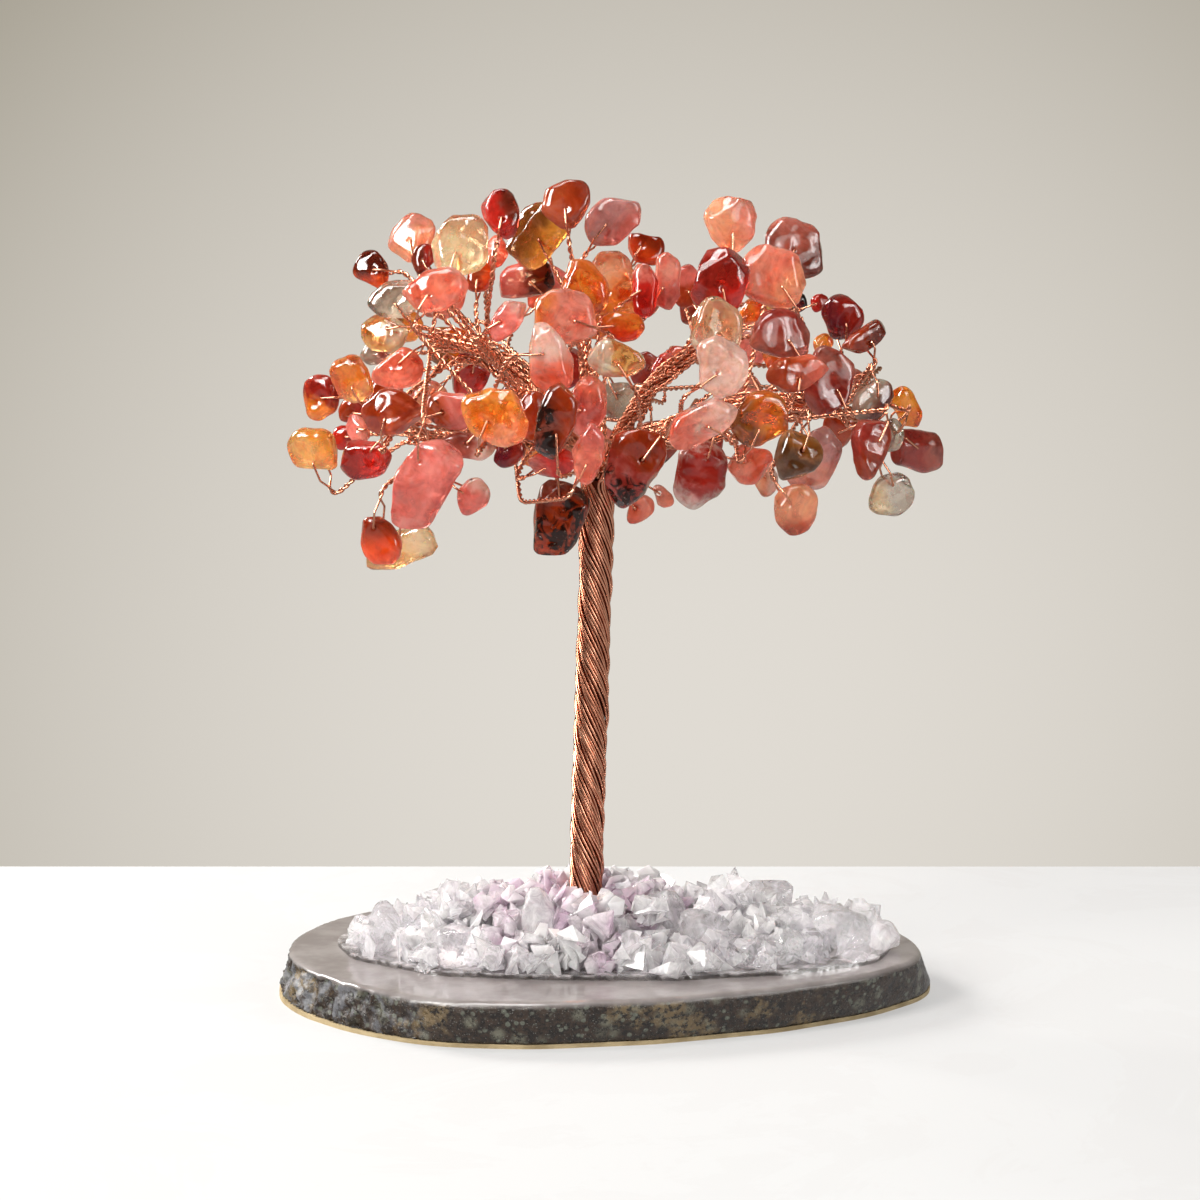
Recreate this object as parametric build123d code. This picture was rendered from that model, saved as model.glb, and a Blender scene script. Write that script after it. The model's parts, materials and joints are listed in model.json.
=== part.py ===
from build123d import *
import math
import os
import random

import numpy as np

# A gemstone tree: drilled, tumbled stones on twisted copper wire, whose limbs are wound together
# into a trunk that stands in crushed quartz on a polished stone slice.
# Millimetres. +Z is up, -Y is the front and +X the viewer's right.
# The origin is the middle of the underside, on the surface that the ornament stands on.

# Base: the backing sheet and the stone slice
BACKING_THICKNESS = 0.8
BACKING_INSET = 0.5
SLAB_WIDTH = 124.0
SLAB_DEPTH = 84.0
SLAB_THICKNESS = 8.2
SLAB_TOP_ROUND = 1.3
SLAB_CORNER_ROUND = 40.0
SLAB_FOOT_SHARES = (
    (-0.494, -0.07),
    (-0.455, -0.20),
    (-0.375, -0.335),
    (-0.255, -0.445),
    (-0.105, -0.465),
    (0.07, -0.425),
    (0.25, -0.335),
    (0.395, -0.205),
    (0.487, -0.05),
    (0.50, 0.10),
    (0.45, 0.25),
    (0.33, 0.395),
    (0.16, 0.475),
    (-0.01, 0.50),
    (-0.205, 0.475),
    (-0.335, 0.395),
    (-0.445, 0.26),
    (-0.50, 0.11),
)
SLAB_TOP_SHARES = (
    (-0.480, -0.06),
    (-0.447, -0.20),
    (-0.360, -0.355),
    (-0.240, -0.480),
    (-0.100, -0.490),
    (0.068, -0.465),
    (0.240, -0.378),
    (0.387, -0.265),
    (0.476, -0.11),
    (0.468, 0.06),
    (0.415, 0.23),
    (0.305, 0.375),
    (0.150, 0.455),
    (-0.010, 0.485),
    (-0.200, 0.455),
    (-0.320, 0.380),
    (-0.420, 0.265),
    (-0.474, 0.09),
)

# Resin that glues the quartz down: a thin puddle with low domes under the heap
RESIN_WIDTH = 105.0
RESIN_DEPTH = 50.0
RESIN_THICKNESS = 0.9
RESIN_SHIFT = 1.5
RESIN_CORNER_ROUND = 9.0
RESIN_OUTLINE_SHARES = (
    (-0.50, 0.06),
    (-0.46, -0.20),
    (-0.31, -0.43),
    (-0.12, -0.49),
    (0.10, -0.50),
    (0.30, -0.42),
    (0.46, -0.26),
    (0.50, 0.02),
    (0.43, 0.28),
    (0.26, 0.44),
    (0.02, 0.50),
    (-0.24, 0.44),
    (-0.42, 0.32),
)
DOME_DIAMETER = 42.0
DOME_HEIGHT = 5.6
DOME_SHARES = (
    (-0.055, 0.00, 1.00, 1.00),
    (-0.26, -0.02, 0.78, 0.44),
    (0.20, 0.00, 0.88, 0.52),
)

# Crushed quartz
CHIP_PITCH = 4.8
CHIP_HEIGHT = 4.0
CHIP_GAP = 0.14
CHIP_SEAT = 0.06
CHIP_EDGE_MARGIN = 2.44
CHIP_FACETS = 14
CHIP_JITTER_SHARE = 0.26
CHIP_SIZE_SHARES = (0.80, 1.15)
CHIP_REACH_SHARES = (0.50, 0.85)
CHIP_LENGTH_SHARES = (0.85, 1.35)
CHIP_BREADTH_SHARES = (0.75, 1.10)
CHIP_RISE_SHARE = 0.45
LAYER_RISE_SHARE = 0.85
TRUNK_ROOM_SHARE = 0.35
CHUNK_ROOM_SHARE = 0.55
NEIGHBOUR_SHARE = 3.6
FACET_LIFT_SHARES = (0.25, 0.80)
SMALLEST_CHIP_SHARE = 0.14
SIDE_HEAP_SHARE = 1.6
TOP_CHIP_PITCH = 6.4
HEAP_WIDTH = 62.0
HEAP_DEPTH = 27.0
ROSE_RADIUS = 21.0
ROSE_SHARE = 0.72
CHUNK_SIZE_SHARES = (
    (0.085, -0.12, 1.55),
    (0.395, -0.10, 1.75),
    (-0.275, -0.30, 1.45),
    (0.155, -0.20, 1.35),
    (0.475, -0.06, 1.15),
    (-0.405, -0.04, 1.40),
    (0.270, 0.26, 1.60),
    (-0.180, 0.30, 1.50),
    (-0.020, 0.34, 1.35),
    (-0.130, -0.20, 1.30),
)

# Trunk: a core of inner wires inside one layer of wound outer wires
TRUNK_FOOT_X = -4.1
TRUNK_HEIGHT = 88.0
TRUNK_DIAMETER = 6.6
TRUNK_LEAN = 1.75
TRUNK_LAY = 34.0
TRUNK_WIRE = 0.62
WIRE_GAP = 0.04
FOOT_GAP = 0.15
LAY_POINTS = 12

# Limbs, twists and eyes
LIMB_DIAMETER = 2.0
LIMB_BEND = 9.0
LIMB_TIP_SHARE = 0.4
WIRE_DIAMETER = 0.40
TWIST_BEND = 3.0
TWIST_LEAD = 1.8
TWIST_ROOM = 0.20
EYE_BEND = 0.55
EYE_CLEARANCE = 0.15
EYE_TAPER = 1.7
EYE_END = 0.35
HOLE_CLEARANCE = 0.25
BEND_RUN_SHARE = 0.45
STRAIGHT_ANGLE = 1.0

# Stones
STONE_THICKNESS = 4.3
STONE_THICKNESS_SHARES = (0.85, 1.12)
STONE_FLATNESS_SHARE = 0.62
STONE_GAP = 0.50
STONE_ROUND_SHARE = 0.34
RIM_ROUND_SHARE = 0.44
RIM_CORNER_SHARE = 0.92
HOLE_SHARE = 0.30
SWING_HOLE_SHARE = 0.52
SWING_ANGLE = 30.0
BACK_DEPTH_SHARE = 0.45
FACE_LIFT_SHARE = 0.10
FACE_DROOP_SHARE = 0.25
FACE_OUTWARD_SHARE = 0.50
FACE_TILT_SHARE = 0.16

# The photograph's frame, from which the crown's places are read
CROWN_WIDTH = 120.9
CROWN_WIDTH_PX = 660.0
CROWN_HALF_DEPTH = 41.0
PHOTO_CENTRE_PX = 600.0
FORK_PX = (599.0, 479.0)
VIEW_DISTANCE = 796.0
VIEW_TILT = 10.0

# Each limb's route past the trunk's top: pixel across, pixel down, depth as a share of the
# crown's half depth (minus is towards the viewer)
LIMB_ROUTE_SHARES = {
    "crown": ((600, 440, 0.00), (590, 385, 0.03), (588, 335, 0.05)),
    "right": ((632, 442, -0.02), (705, 415, -0.02), (785, 400, 0.00), (850, 400, 0.03)),
    "back_right": ((622, 430, 0.14), (655, 380, 0.26), (712, 340, 0.32)),
    "back_left": ((585, 432, 0.16), (548, 385, 0.36), (490, 348, 0.44)),
    "left": ((572, 436, 0.00), (530, 392, 0.02), (482, 352, 0.02), (430, 345, 0.0)),
    "left_front": ((584, 446, -0.16), (532, 440, -0.26), (462, 436, -0.22), (405, 432, -0.10)),
    "right_front": ((622, 448, -0.16), (668, 438, -0.26), (735, 432, -0.30)),
}
OUTER_LIMBS = ("right", "back_right", "back_left", "left", "left_front", "right_front")

# Unit outlines of tumbled chips, as shares of half the length and half the width
CHIP_OUTLINE_SHARES = {
    "oval": (
        (-1.0, 0.1),
        (-0.62, -0.82),
        (0.1, -1.0),
        (0.75, -0.66),
        (1.0, 0.05),
        (0.6, 0.85),
        (-0.2, 1.0),
    ),
    "drop": (
        (-1.0, 0.05),
        (-0.35, -0.62),
        (0.35, -1.0),
        (0.92, -0.62),
        (1.0, 0.25),
        (0.55, 1.0),
        (-0.3, 0.66),
    ),
    "brick": (
        (-1.0, -0.35),
        (-0.7, -0.95),
        (0.55, -1.0),
        (1.0, -0.45),
        (0.92, 0.75),
        (0.35, 1.0),
        (-0.82, 0.82),
    ),
    "wedge": (
        (-1.0, -0.5),
        (-0.55, -1.0),
        (0.7, -0.62),
        (1.0, 0.1),
        (0.55, 0.8),
        (-0.5, 1.0),
        (-0.95, 0.45),
    ),
    "bean": (
        (-1.0, 0.2),
        (-0.7, -0.85),
        (0.05, -0.86),
        (0.72, -1.0),
        (1.0, -0.2),
        (0.66, 0.85),
        (-0.45, 1.0),
    ),
    "shard": (
        (-1.0, 0.0),
        (-0.45, -0.8),
        (0.55, -1.0),
        (1.0, -0.55),
        (0.62, 0.55),
        (-0.3, 1.0),
    ),
    "heart": (
        (-1.0, 0.0),
        (-0.3, -0.85),
        (0.55, -1.0),
        (1.0, -0.35),
        (0.86, 0.5),
        (0.4, 1.0),
        (-0.35, 0.72),
    ),
}

# Every fixed stone: colour family, pixel across, pixel down, depth as a share of the crown's
# half depth, length and width in pixels, the long axis's turn in degrees, the outline
STONE_PLACE_SHARES = (
    ("coral", 413, 236, 0.25, 50, 45, 60, "wedge"),
    ("mottled", 424, 258, 0.06, 32, 23, 80, "oval"),
    ("clear", 462, 245, -0.15, 60, 54, 100, "brick"),
    ("red", 503, 216, -0.10, 53, 39, 110, "drop"),
    ("coral", 495, 252, 0.30, 36, 27, 70, "oval"),
    ("amber", 538, 234, 0.12, 74, 50, 58, "brick"),
    ("rust", 567, 204, -0.10, 47, 43, 82, "brick"),
    ("rust", 480, 277, 0.12, 34, 28, 20, "oval"),
    ("red", 377, 274, 0.12, 42, 36, 125, "drop"),
    ("clear", 393, 298, -0.02, 60, 40, 14, "oval"),
    ("coral", 435, 291, -0.32, 68, 42, 12, "oval"),
    ("clear", 386, 333, 0.10, 48, 41, -20, "wedge"),
    ("mauve", 374, 352, 0.38, 32, 26, 20, "oval"),
    ("coral", 397, 370, -0.05, 58, 41, 20, "heart"),
    ("amber", 354, 379, -0.26, 47, 40, -60, "brick"),
    ("red", 320, 401, -0.05, 50, 42, 75, "heart"),
    ("mottled", 527, 279, 0.26, 58, 38, 15, "brick"),
    ("amber", 584, 288, -0.28, 62, 47, -62, "oval"),
    ("amber", 614, 281, 0.02, 76, 48, -65, "bean"),
    ("coral", 563, 318, -0.46, 66, 58, 4, "bean"),
    ("coral", 549, 354, -0.74, 75, 44, -78, "drop"),
    ("coral", 509, 319, -0.42, 50, 27, 62, "oval"),
    ("mauve", 613, 226, 0.06, 66, 45, 42, "oval"),
    ("rust", 644, 247, 0.24, 42, 35, -48, "drop"),
    ("amber", 622, 326, -0.28, 48, 30, 0, "oval"),
    ("mauve", 668, 282, -0.02, 60, 26, 86, "bean"),
    ("red", 646, 290, -0.14, 54, 25, 88, "brick"),
    ("rust", 686, 287, 0.24, 48, 28, 80, "oval"),
    ("red", 719, 280, -0.32, 64, 54, 72, "brick"),
    ("coral", 731, 226, 0.08, 60, 54, 90, "heart"),
    ("mauve", 796, 247, 0.16, 66, 54, -28, "brick"),
    ("coral", 774, 277, -0.16, 66, 58, -18, "brick"),
    ("clear", 716, 328, -0.52, 60, 53, 78, "bean"),
    ("coral", 722, 370, -0.72, 58, 50, 88, "bean"),
    ("mauve", 781, 335, -0.30, 66, 50, -8, "oval"),
    ("red", 843, 316, 0.10, 46, 41, -58, "bean"),
    ("red", 819, 303, 0.34, 22, 16, 30, "oval"),
    ("rust", 864, 342, -0.08, 56, 24, 20, "shard"),
    ("amber", 823, 344, 0.24, 24, 18, 40, "oval"),
    ("mauve", 835, 380, -0.16, 70, 50, 68, "bean"),
    ("rust", 796, 374, -0.46, 66, 38, 0, "shard"),
    ("clear", 613, 361, -0.62, 60, 40, 8, "shard"),
    ("red", 795, 304, 0.44, 26, 20, 30, "oval"),
    ("amber", 751, 314, 0.20, 34, 27, 40, "drop"),
    ("red", 664, 368, 0.44, 32, 25, 70, "wedge"),
    ("coral", 678, 358, 0.62, 34, 28, 0, "oval"),
    ("rust", 395, 413, -0.52, 66, 44, 0, "oval"),
    ("coral", 358, 429, -0.10, 34, 21, -60, "oval"),
    ("red", 345, 437, 0.20, 28, 24, 30, "oval"),
    ("rust", 352, 411, 0.30, 32, 27, 40, "oval"),
    ("mottled", 448, 413, -0.52, 52, 38, -10, "bean"),
    ("amber", 494, 414, -0.72, 74, 56, -22, "heart"),
    ("mauve", 466, 444, -0.46, 60, 28, -15, "shard"),
    ("mauve", 509, 453, -0.52, 36, 28, 45, "drop"),
    ("rust", 534, 417, -0.56, 52, 31, 88, "oval"),
    ("mottled", 558, 424, -0.86, 78, 38, 80, "oval"),
    ("coral", 590, 404, -0.62, 64, 38, 80, "oval"),
    ("coral", 588, 455, -0.92, 62, 30, 88, "oval"),
    ("red", 549, 464, -0.60, 50, 32, -15, "shard"),
    ("mottled", 634, 470, -0.68, 86, 56, 66, "heart"),
    ("coral", 639, 510, -0.12, 34, 26, 50, "drop"),
    ("coral", 662, 495, 0.08, 28, 18, -60, "drop"),
    ("coral", 700, 422, -0.74, 80, 40, 36, "shard"),
    ("amber", 763, 421, -0.66, 62, 54, 8, "oval"),
    ("mottled", 795, 456, -0.70, 52, 48, 60, "heart"),
    ("mauve", 820, 464, -0.36, 72, 44, 60, "bean"),
    ("coral", 744, 461, -0.34, 44, 40, -20, "bean"),
    ("coral", 766, 480, -0.12, 36, 24, 82, "oval"),
    ("mauve", 874, 404, -0.22, 50, 38, 30, "shard"),
    ("amber", 906, 408, 0.06, 48, 27, -60, "bean"),
    ("rust", 866, 450, -0.36, 66, 38, 75, "drop"),
    ("clear", 892, 436, -0.10, 36, 25, 80, "oval"),
    ("mauve", 917, 450, 0.16, 60, 40, -12, "brick"),
    # The far side of the crown, which the photograph only hints at
    ("coral", 442, 300, 0.66, 54, 42, 30, "oval"),
    ("amber", 400, 322, 0.60, 48, 38, -40, "brick"),
    ("red", 470, 378, 0.78, 56, 40, 70, "drop"),
    ("coral", 424, 404, 0.62, 52, 44, 10, "heart"),
    ("rust", 384, 392, 0.58, 46, 36, 55, "bean"),
    ("mauve", 522, 402, 0.94, 58, 42, -30, "oval"),
    ("coral", 548, 292, 0.60, 56, 44, 80, "bean"),
    ("amber", 600, 318, 0.78, 60, 44, 15, "shard"),
    ("mauve", 640, 292, 0.62, 50, 38, -70, "brick"),
    ("red", 566, 372, 0.98, 54, 42, 40, "heart"),
    ("clear", 622, 400, 1.00, 56, 40, -10, "oval"),
    ("rust", 696, 306, 0.70, 52, 40, 65, "drop"),
    ("coral", 742, 342, 0.84, 58, 46, -25, "brick"),
    ("amber", 786, 352, 0.60, 52, 42, 50, "oval"),
    ("red", 806, 398, 0.72, 50, 38, 0, "bean"),
    ("coral", 748, 398, 0.96, 56, 42, 75, "shard"),
    ("rust", 700, 438, 0.84, 52, 38, -45, "oval"),
    ("mottled", 656, 446, 0.92, 60, 46, 60, "heart"),
    ("coral", 596, 446, 0.84, 50, 36, 20, "drop"),
    ("amber", 530, 444, 0.74, 56, 42, -60, "wedge"),
    ("mauve", 848, 392, 0.50, 46, 36, 35, "oval"),
    ("coral", 480, 432, 0.88, 54, 40, 80, "bean"),
    ("clear", 770, 296, 0.56, 46, 38, -15, "heart"),
    ("rust", 838, 430, 0.46, 48, 36, 70, "drop"),
    ("mauve", 646, 372, 0.96, 52, 40, -50, "oval"),
    ("amber", 448, 344, 0.90, 50, 40, 25, "bean"),
)

# Stones that hang on open eyes and swing about the wire through their hole: node, then as above
SWING_STONE_SHARES = (
    ("honey_drop_left", 315, 447, 0.04, 57, 45, 10, "bean"),
    ("cherry_drop_left", 367, 460, -0.32, 56, 41, 0, "wedge"),
    ("rose_drop_left", 424, 483, -0.72, 100, 60, 62, "bean"),
    ("fire_drop_left", 378, 536, -0.50, 56, 42, -64, "heart"),
    ("sunlit_drop_left", 402, 547, -0.22, 88, 42, 30, "shard"),
    ("blush_drop_lone", 474, 497, -0.52, 44, 31, 52, "oval"),
    ("charred_drop_front", 560, 516, -0.42, 78, 52, 74, "brick"),
    ("banded_drop_right", 700, 474, -0.50, 74, 54, 76, "bean"),
    ("peach_drop_right", 792, 510, -0.42, 56, 46, 92, "heart"),
    ("misty_drop_right", 892, 495, -0.08, 54, 46, 30, "oval"),
)

# Steps of the search for a clear way from a limb to a stone
BOW_SHARES = (0.12, 0.24, 0.38, 0.55)
BOW_SIDES = 8
LIMB_STATION_SHARES = (1.0, 0.92, 0.84, 0.76, 0.68, 0.60, 0.52, 0.44, 0.36)
LIMB_CHOICES = 3
EYE_TURNS = (0.0, 25.0, -25.0, 50.0, -50.0, 80.0, -80.0)
OWN_LIMB_SHARE = 0.30
ROUTE_SAMPLES = 12
SETTLE_ROUNDS = 160
SETTLE_SHARE = 0.51
DEPTH_PREFERENCE_SHARE = 1.2
BACKWARD_COST_SHARE = 0.25
TURN_COST_SHARE = 0.5
SWING_TURN_COST_SHARE = 1.5
NEIGHBOURHOOD_SHARE = 0.333
SWING_STEPS = 5
DICE_SEED = 7

# What those sizes give
SLAB_FOOT = BACKING_THICKNESS
SLAB_TOP = SLAB_FOOT + SLAB_THICKNESS
RESIN_TOP = SLAB_TOP + RESIN_THICKNESS
PIXEL = CROWN_WIDTH / CROWN_WIDTH_PX
TWIST_DIAMETER = 2 * WIRE_DIAMETER + WIRE_GAP
AXIS = np.array((math.sin(math.radians(TRUNK_LEAN)), 0.0, math.cos(math.radians(TRUNK_LEAN))))
FOOT = np.array((TRUNK_FOOT_X, 0.0, SLAB_TOP + FOOT_GAP))
FORK = FOOT + AXIS * TRUNK_HEIGHT
TINY = 1e-9
SHORTEST_EDGE = 1e-6
UP = np.array((0.0, 0.0, 1.0))
BACKWARD = np.array((0.0, 1.0, 0.0))
ODD_WAY = np.array((0.3, 1.0, 0.4))


def unit(vector):
    return vector / np.linalg.norm(vector)


def flat_on(vector, normal):
    """The unit vector nearest to this one that lies square to the normal."""
    return unit(vector - np.dot(vector, normal) * normal)


def crown_point(across, down, depth_share):
    """The place in the crown that the photograph shows at a pixel, at a share of its half depth."""
    tilt = math.radians(VIEW_TILT)
    ahead = np.array((0.0, math.cos(tilt), -math.sin(tilt)))
    above = np.array((0.0, math.sin(tilt), math.cos(tilt)))
    grain = PIXEL / VIEW_DISTANCE

    def ray(px, py):
        right = (px - PHOTO_CENTRE_PX) * grain
        rise = (PHOTO_CENTRE_PX - py) * grain
        return ahead + np.array((right, 0.0, 0.0)) + above * rise

    eye = -ray(*FORK_PX) * VIEW_DISTANCE
    line = ray(across, down)
    depth = depth_share * CROWN_HALF_DEPTH
    return FORK + eye + line * (depth - eye[1]) / line[1]


def turn_between(before, after):
    return math.acos(np.clip(np.dot(unit(before), unit(after)), -1.0, 1.0))


def bend_radii(points, largest, closed=False):
    """One bend radius for each corner, as large as its two runs allow."""
    count = len(points)
    radii = []
    for i in range(count) if closed else range(1, count - 1):
        before = points[i] - points[i - 1]
        after = points[(i + 1) % count] - points[i]
        run = min(np.linalg.norm(before), np.linalg.norm(after))
        radii.append(min(largest, BEND_RUN_SHARE * run / math.tan(turn_between(before, after) / 2)))
    return radii


def bent_path(points, bend):
    """Straight runs joined by tangent arcs, without the corners that hardly turn."""
    kept = [points[0]]
    for i in range(1, len(points) - 1):
        if turn_between(points[i] - kept[-1], points[i + 1] - points[i]) > math.radians(STRAIGHT_ANGLE):
            kept.append(points[i])
    kept.append(points[-1])
    if len(kept) == 2:
        return Line(tuple(kept[0]), tuple(kept[1]))
    return FilletPolyline(*[tuple(p) for p in kept], radius=bend_radii(kept, bend))


def bent_wire(points, diameter, bend):
    """A round wire along straight runs and tangent arcs."""
    path = bent_path(points, bend)
    start = Plane(origin=tuple(points[0]), z_dir=tuple(points[1] - points[0]))
    return sweep(start * Circle(diameter / 2), path=path)


def convex_outline(points):
    """The convex outline round a set of flat points, anticlockwise."""
    points = sorted(tuple(p) for p in points)
    hull = []
    for ordered in (points, points[::-1]):
        side = []
        for p in ordered:
            while len(side) > 1:
                (ax, ay), (bx, by) = side[-2], side[-1]
                if (bx - ax) * (p[1] - ay) - (by - ay) * (p[0] - ax) > 0:
                    break
                side.pop()
            side.append(p)
        hull += side[:-1]
    return [np.array(p) for p in hull]


def rim_distance(outline):
    """How far a convex outline reaches from its origin along +X."""
    best = 0.0
    for a, b in zip(outline, outline[1:] + outline[:1]):
        if (a[1] > 0) != (b[1] > 0):
            best = max(best, a[0] + (b[0] - a[0]) * a[1] / (a[1] - b[1]))
    return best


class Block:
    """A convex prism, for finding out what lies clear of what."""

    def __init__(self, origin, x_dir, normal, outline, half_thickness):
        y_dir = np.cross(normal, x_dir)
        ring = [x_dir * p[0] + y_dir * p[1] for p in outline]
        self.origin = np.array(origin, float)
        self.corners = np.array(
            [p + normal * s for p in ring for s in (-half_thickness, half_thickness)]
        )
        edges = [unit(b - a) for a, b in zip(ring, ring[1:] + ring[:1])]
        self.normals = np.array([normal, -normal] + [np.cross(e, normal) for e in edges])
        self.edges = np.array([normal] + edges)
        self.depths = (self.corners @ self.normals.T).max(axis=0)
        self.reach = np.linalg.norm(self.corners, axis=1).max()

    def gap_to(self, points):
        """A lower bound of how far each point lies outside this block."""
        return ((points - self.origin) @ self.normals.T - self.depths).max(axis=-1)


def push_apart(one, other):
    """The shortest move that takes the first block clear of the other, or None."""
    between = one.origin - other.origin
    if np.linalg.norm(between) > one.reach + other.reach:
        return None
    crossed = np.cross(one.edges[:, None, :], other.edges[None, :, :]).reshape(-1, 3)
    lengths = np.linalg.norm(crossed, axis=1)
    slanted = lengths > TINY
    axes = np.vstack((one.normals, other.normals, crossed[slanted] / lengths[slanted][:, None]))
    axes[axes @ between < 0] *= -1
    low = ((one.corners + one.origin) @ axes.T).min(axis=0)
    high = ((other.corners + other.origin) @ axes.T).max(axis=0)
    overlap = high - low
    if overlap.min() <= 0:
        return None
    # A move in depth shows least from the front, so it is taken where it is not much longer
    sideways = 1.0 - np.abs(axes[:, 1])
    best = np.argmin(overlap * (1.0 + DEPTH_PREFERENCE_SHARE * sideways))
    return axes[best] * overlap[best]


class Stone:
    """One tumbled chip, drilled through its thickness, with the place and facing it hangs at."""

    def __init__(self, node, row, swings, dice):
        across, down, depth, length, width, turn, outline = row
        self.node = node
        self.swings = swings
        self.centre = crown_point(across, down, depth)
        outward = (self.centre - FORK) * 2 / CROWN_WIDTH - UP * FACE_DROOP_SHARE
        facing = (BACKWARD if depth >= BACK_DEPTH_SHARE else -BACKWARD) + UP * FACE_LIFT_SHARE
        tilt = np.array([dice.uniform(-FACE_TILT_SHARE, FACE_TILT_SHARE) for _ in range(3)])
        self.normal = unit(facing + FACE_OUTWARD_SHARE * outward + tilt)
        turn = math.radians(turn)
        along = flat_on(np.array((math.cos(turn), 0.0, math.sin(turn))), self.normal)
        aside = np.cross(self.normal, along)
        self.width = width * PIXEL
        full = STONE_THICKNESS * dice.uniform(*STONE_THICKNESS_SHARES)
        self.thickness = min(full, STONE_FLATNESS_SHARE * self.width)
        flip = dice.choice((-1, 1))
        self.ring = [
            (along * u * length + aside * v * flip * width) * PIXEL / 2
            for u, v in CHIP_OUTLINE_SHARES[outline]
        ]
        self.leg = self.thickness / 2 + EYE_CLEARANCE + WIRE_DIAMETER / 2
        self.limb, self.carrier = nearest_limb(self.centre)
        self.aim(0.0)

    def aim(self, turn):
        """Drill the hole on the side that the twist comes from, turned by an angle."""
        towards = flat_on(self.carrier - self.centre, self.normal)
        square = np.cross(self.normal, towards)
        turn = math.radians(turn)
        self.to_twist = towards * math.cos(turn) + square * math.sin(turn)
        square = np.cross(self.normal, self.to_twist)
        outline = [np.array((p @ self.to_twist, p @ square)) for p in self.ring]
        share = SWING_HOLE_SHARE if self.swings else HOLE_SHARE
        shift = share * rim_distance(convex_outline(outline))
        self.hole = self.centre + self.to_twist * shift
        # From here on the outline runs round the hole, with its x axis towards the twist
        self.outline = [p - np.array((shift, 0.0)) for p in outline]
        self.swept = convex_outline(self.swept_corners())
        self.rim = rim_distance(self.swept) + EYE_CLEARANCE
        self.reach = self.rim + EYE_TAPER + EYE_END
        self.blocks = [self.body_block(STONE_GAP / 2), self.eye_block(STONE_GAP / 2)]

    def swept_corners(self):
        """The outline's corners over the whole swing, or as they are on a fixed stone."""
        if not self.swings:
            return self.outline
        points = []
        for i in range(SWING_STEPS):
            angle = math.radians(SWING_ANGLE) * (2 * i / (SWING_STEPS - 1) - 1)
            c, s = math.cos(angle), math.sin(angle)
            points += [np.array((c * p[0] - s * p[1], s * p[0] + c * p[1])) for p in self.outline]
        return points

    def body_block(self, margin):
        """The space that the stone sweeps between its eye's legs, grown by a margin."""
        middle = sum(self.swept) / len(self.swept)
        grown = [p + unit(p - middle) * margin for p in self.swept]
        half = self.leg + WIRE_DIAMETER / 2 + margin
        return Block(self.hole, self.to_twist, self.normal, grown, half)

    def eye_block(self, margin):
        """The eye past the rim, where its legs come together."""
        wide = self.leg + WIRE_DIAMETER / 2 + margin
        slim = TWIST_DIAMETER / 2 + margin
        flat = [(self.rim, -wide), (self.reach, -slim), (self.reach, slim), (self.rim, wide)]
        outline = [np.array(p) for p in flat]
        side = np.cross(self.normal, self.to_twist)
        return Block(self.hole, self.to_twist, side, outline, WIRE_DIAMETER / 2 + margin)

    def move(self, step):
        self.centre = self.centre + step
        self.hole = self.hole + step
        for block in self.blocks:
            block.origin = self.hole

    def twist_end(self):
        return self.hole + self.to_twist * self.reach

    def place(self):
        return Plane(origin=tuple(self.hole), x_dir=tuple(self.to_twist), z_dir=tuple(self.normal))

    def solid(self):
        """The chip itself: a rounded outline with a round rim, drilled through."""
        radii = bend_radii(self.outline, STONE_ROUND_SHARE * self.width, closed=True)
        ring = FilletPolyline(*[tuple(p) for p in self.outline], radius=radii, close=True)
        body = extrude(make_face(ring), amount=self.thickness / 2, both=True)
        rim = min(RIM_ROUND_SHARE * self.thickness, RIM_CORNER_SHARE * min(radii))
        body = fillet(body.faces().filter_by(Axis.Z).edges(), rim)
        body -= Cylinder(WIRE_DIAMETER / 2 + HOLE_CLEARANCE, 2 * self.thickness)
        return self.place() * body

    def eye(self):
        """The single wire through the hole, whose two legs come together at the twist."""
        spread = (WIRE_DIAMETER + WIRE_GAP) / 2
        neck = self.rim + EYE_TAPER
        half = [(self.reach, spread), (neck, spread), (self.rim, self.leg), (0.0, self.leg)]
        flat = half + [(u, -n) for u, n in reversed(half)]
        points = [self.hole + self.to_twist * u + self.normal * n for u, n in flat]
        return bent_wire(points, WIRE_DIAMETER, EYE_BEND)


def limb_points(name):
    """A limb's corners: its seat on the trunk's top, a short straight start, then its route."""
    side = unit(np.cross(BACKWARD, AXIS))
    back = np.cross(AXIS, side)
    seat = FORK.copy()
    if name in OUTER_LIMBS:
        angle = math.tau * OUTER_LIMBS.index(name) / len(OUTER_LIMBS)
        seat += (side * math.cos(angle) + back * math.sin(angle)) * (LIMB_DIAMETER + WIRE_GAP)
    return [seat, seat + AXIS * LIMB_DIAMETER] + [crown_point(*p) for p in LIMB_ROUTE_SHARES[name]]


LIMBS = {name: limb_points(name) for name in LIMB_ROUTE_SHARES}


def nearest_limb(place):
    """The limb that carries a stone at this place, and the point on it that lies nearest."""
    found = []
    for name, points in LIMBS.items():
        for a, b in zip(points[1:], points[2:]):
            share = np.clip(np.dot(place - a, b - a) / np.dot(b - a, b - a), 0.0, 1.0)
            near = a + (b - a) * share
            found.append((np.linalg.norm(place - near), name, near))
    best = min(found, key=lambda f: f[0])
    return best[1], best[2]


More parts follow.
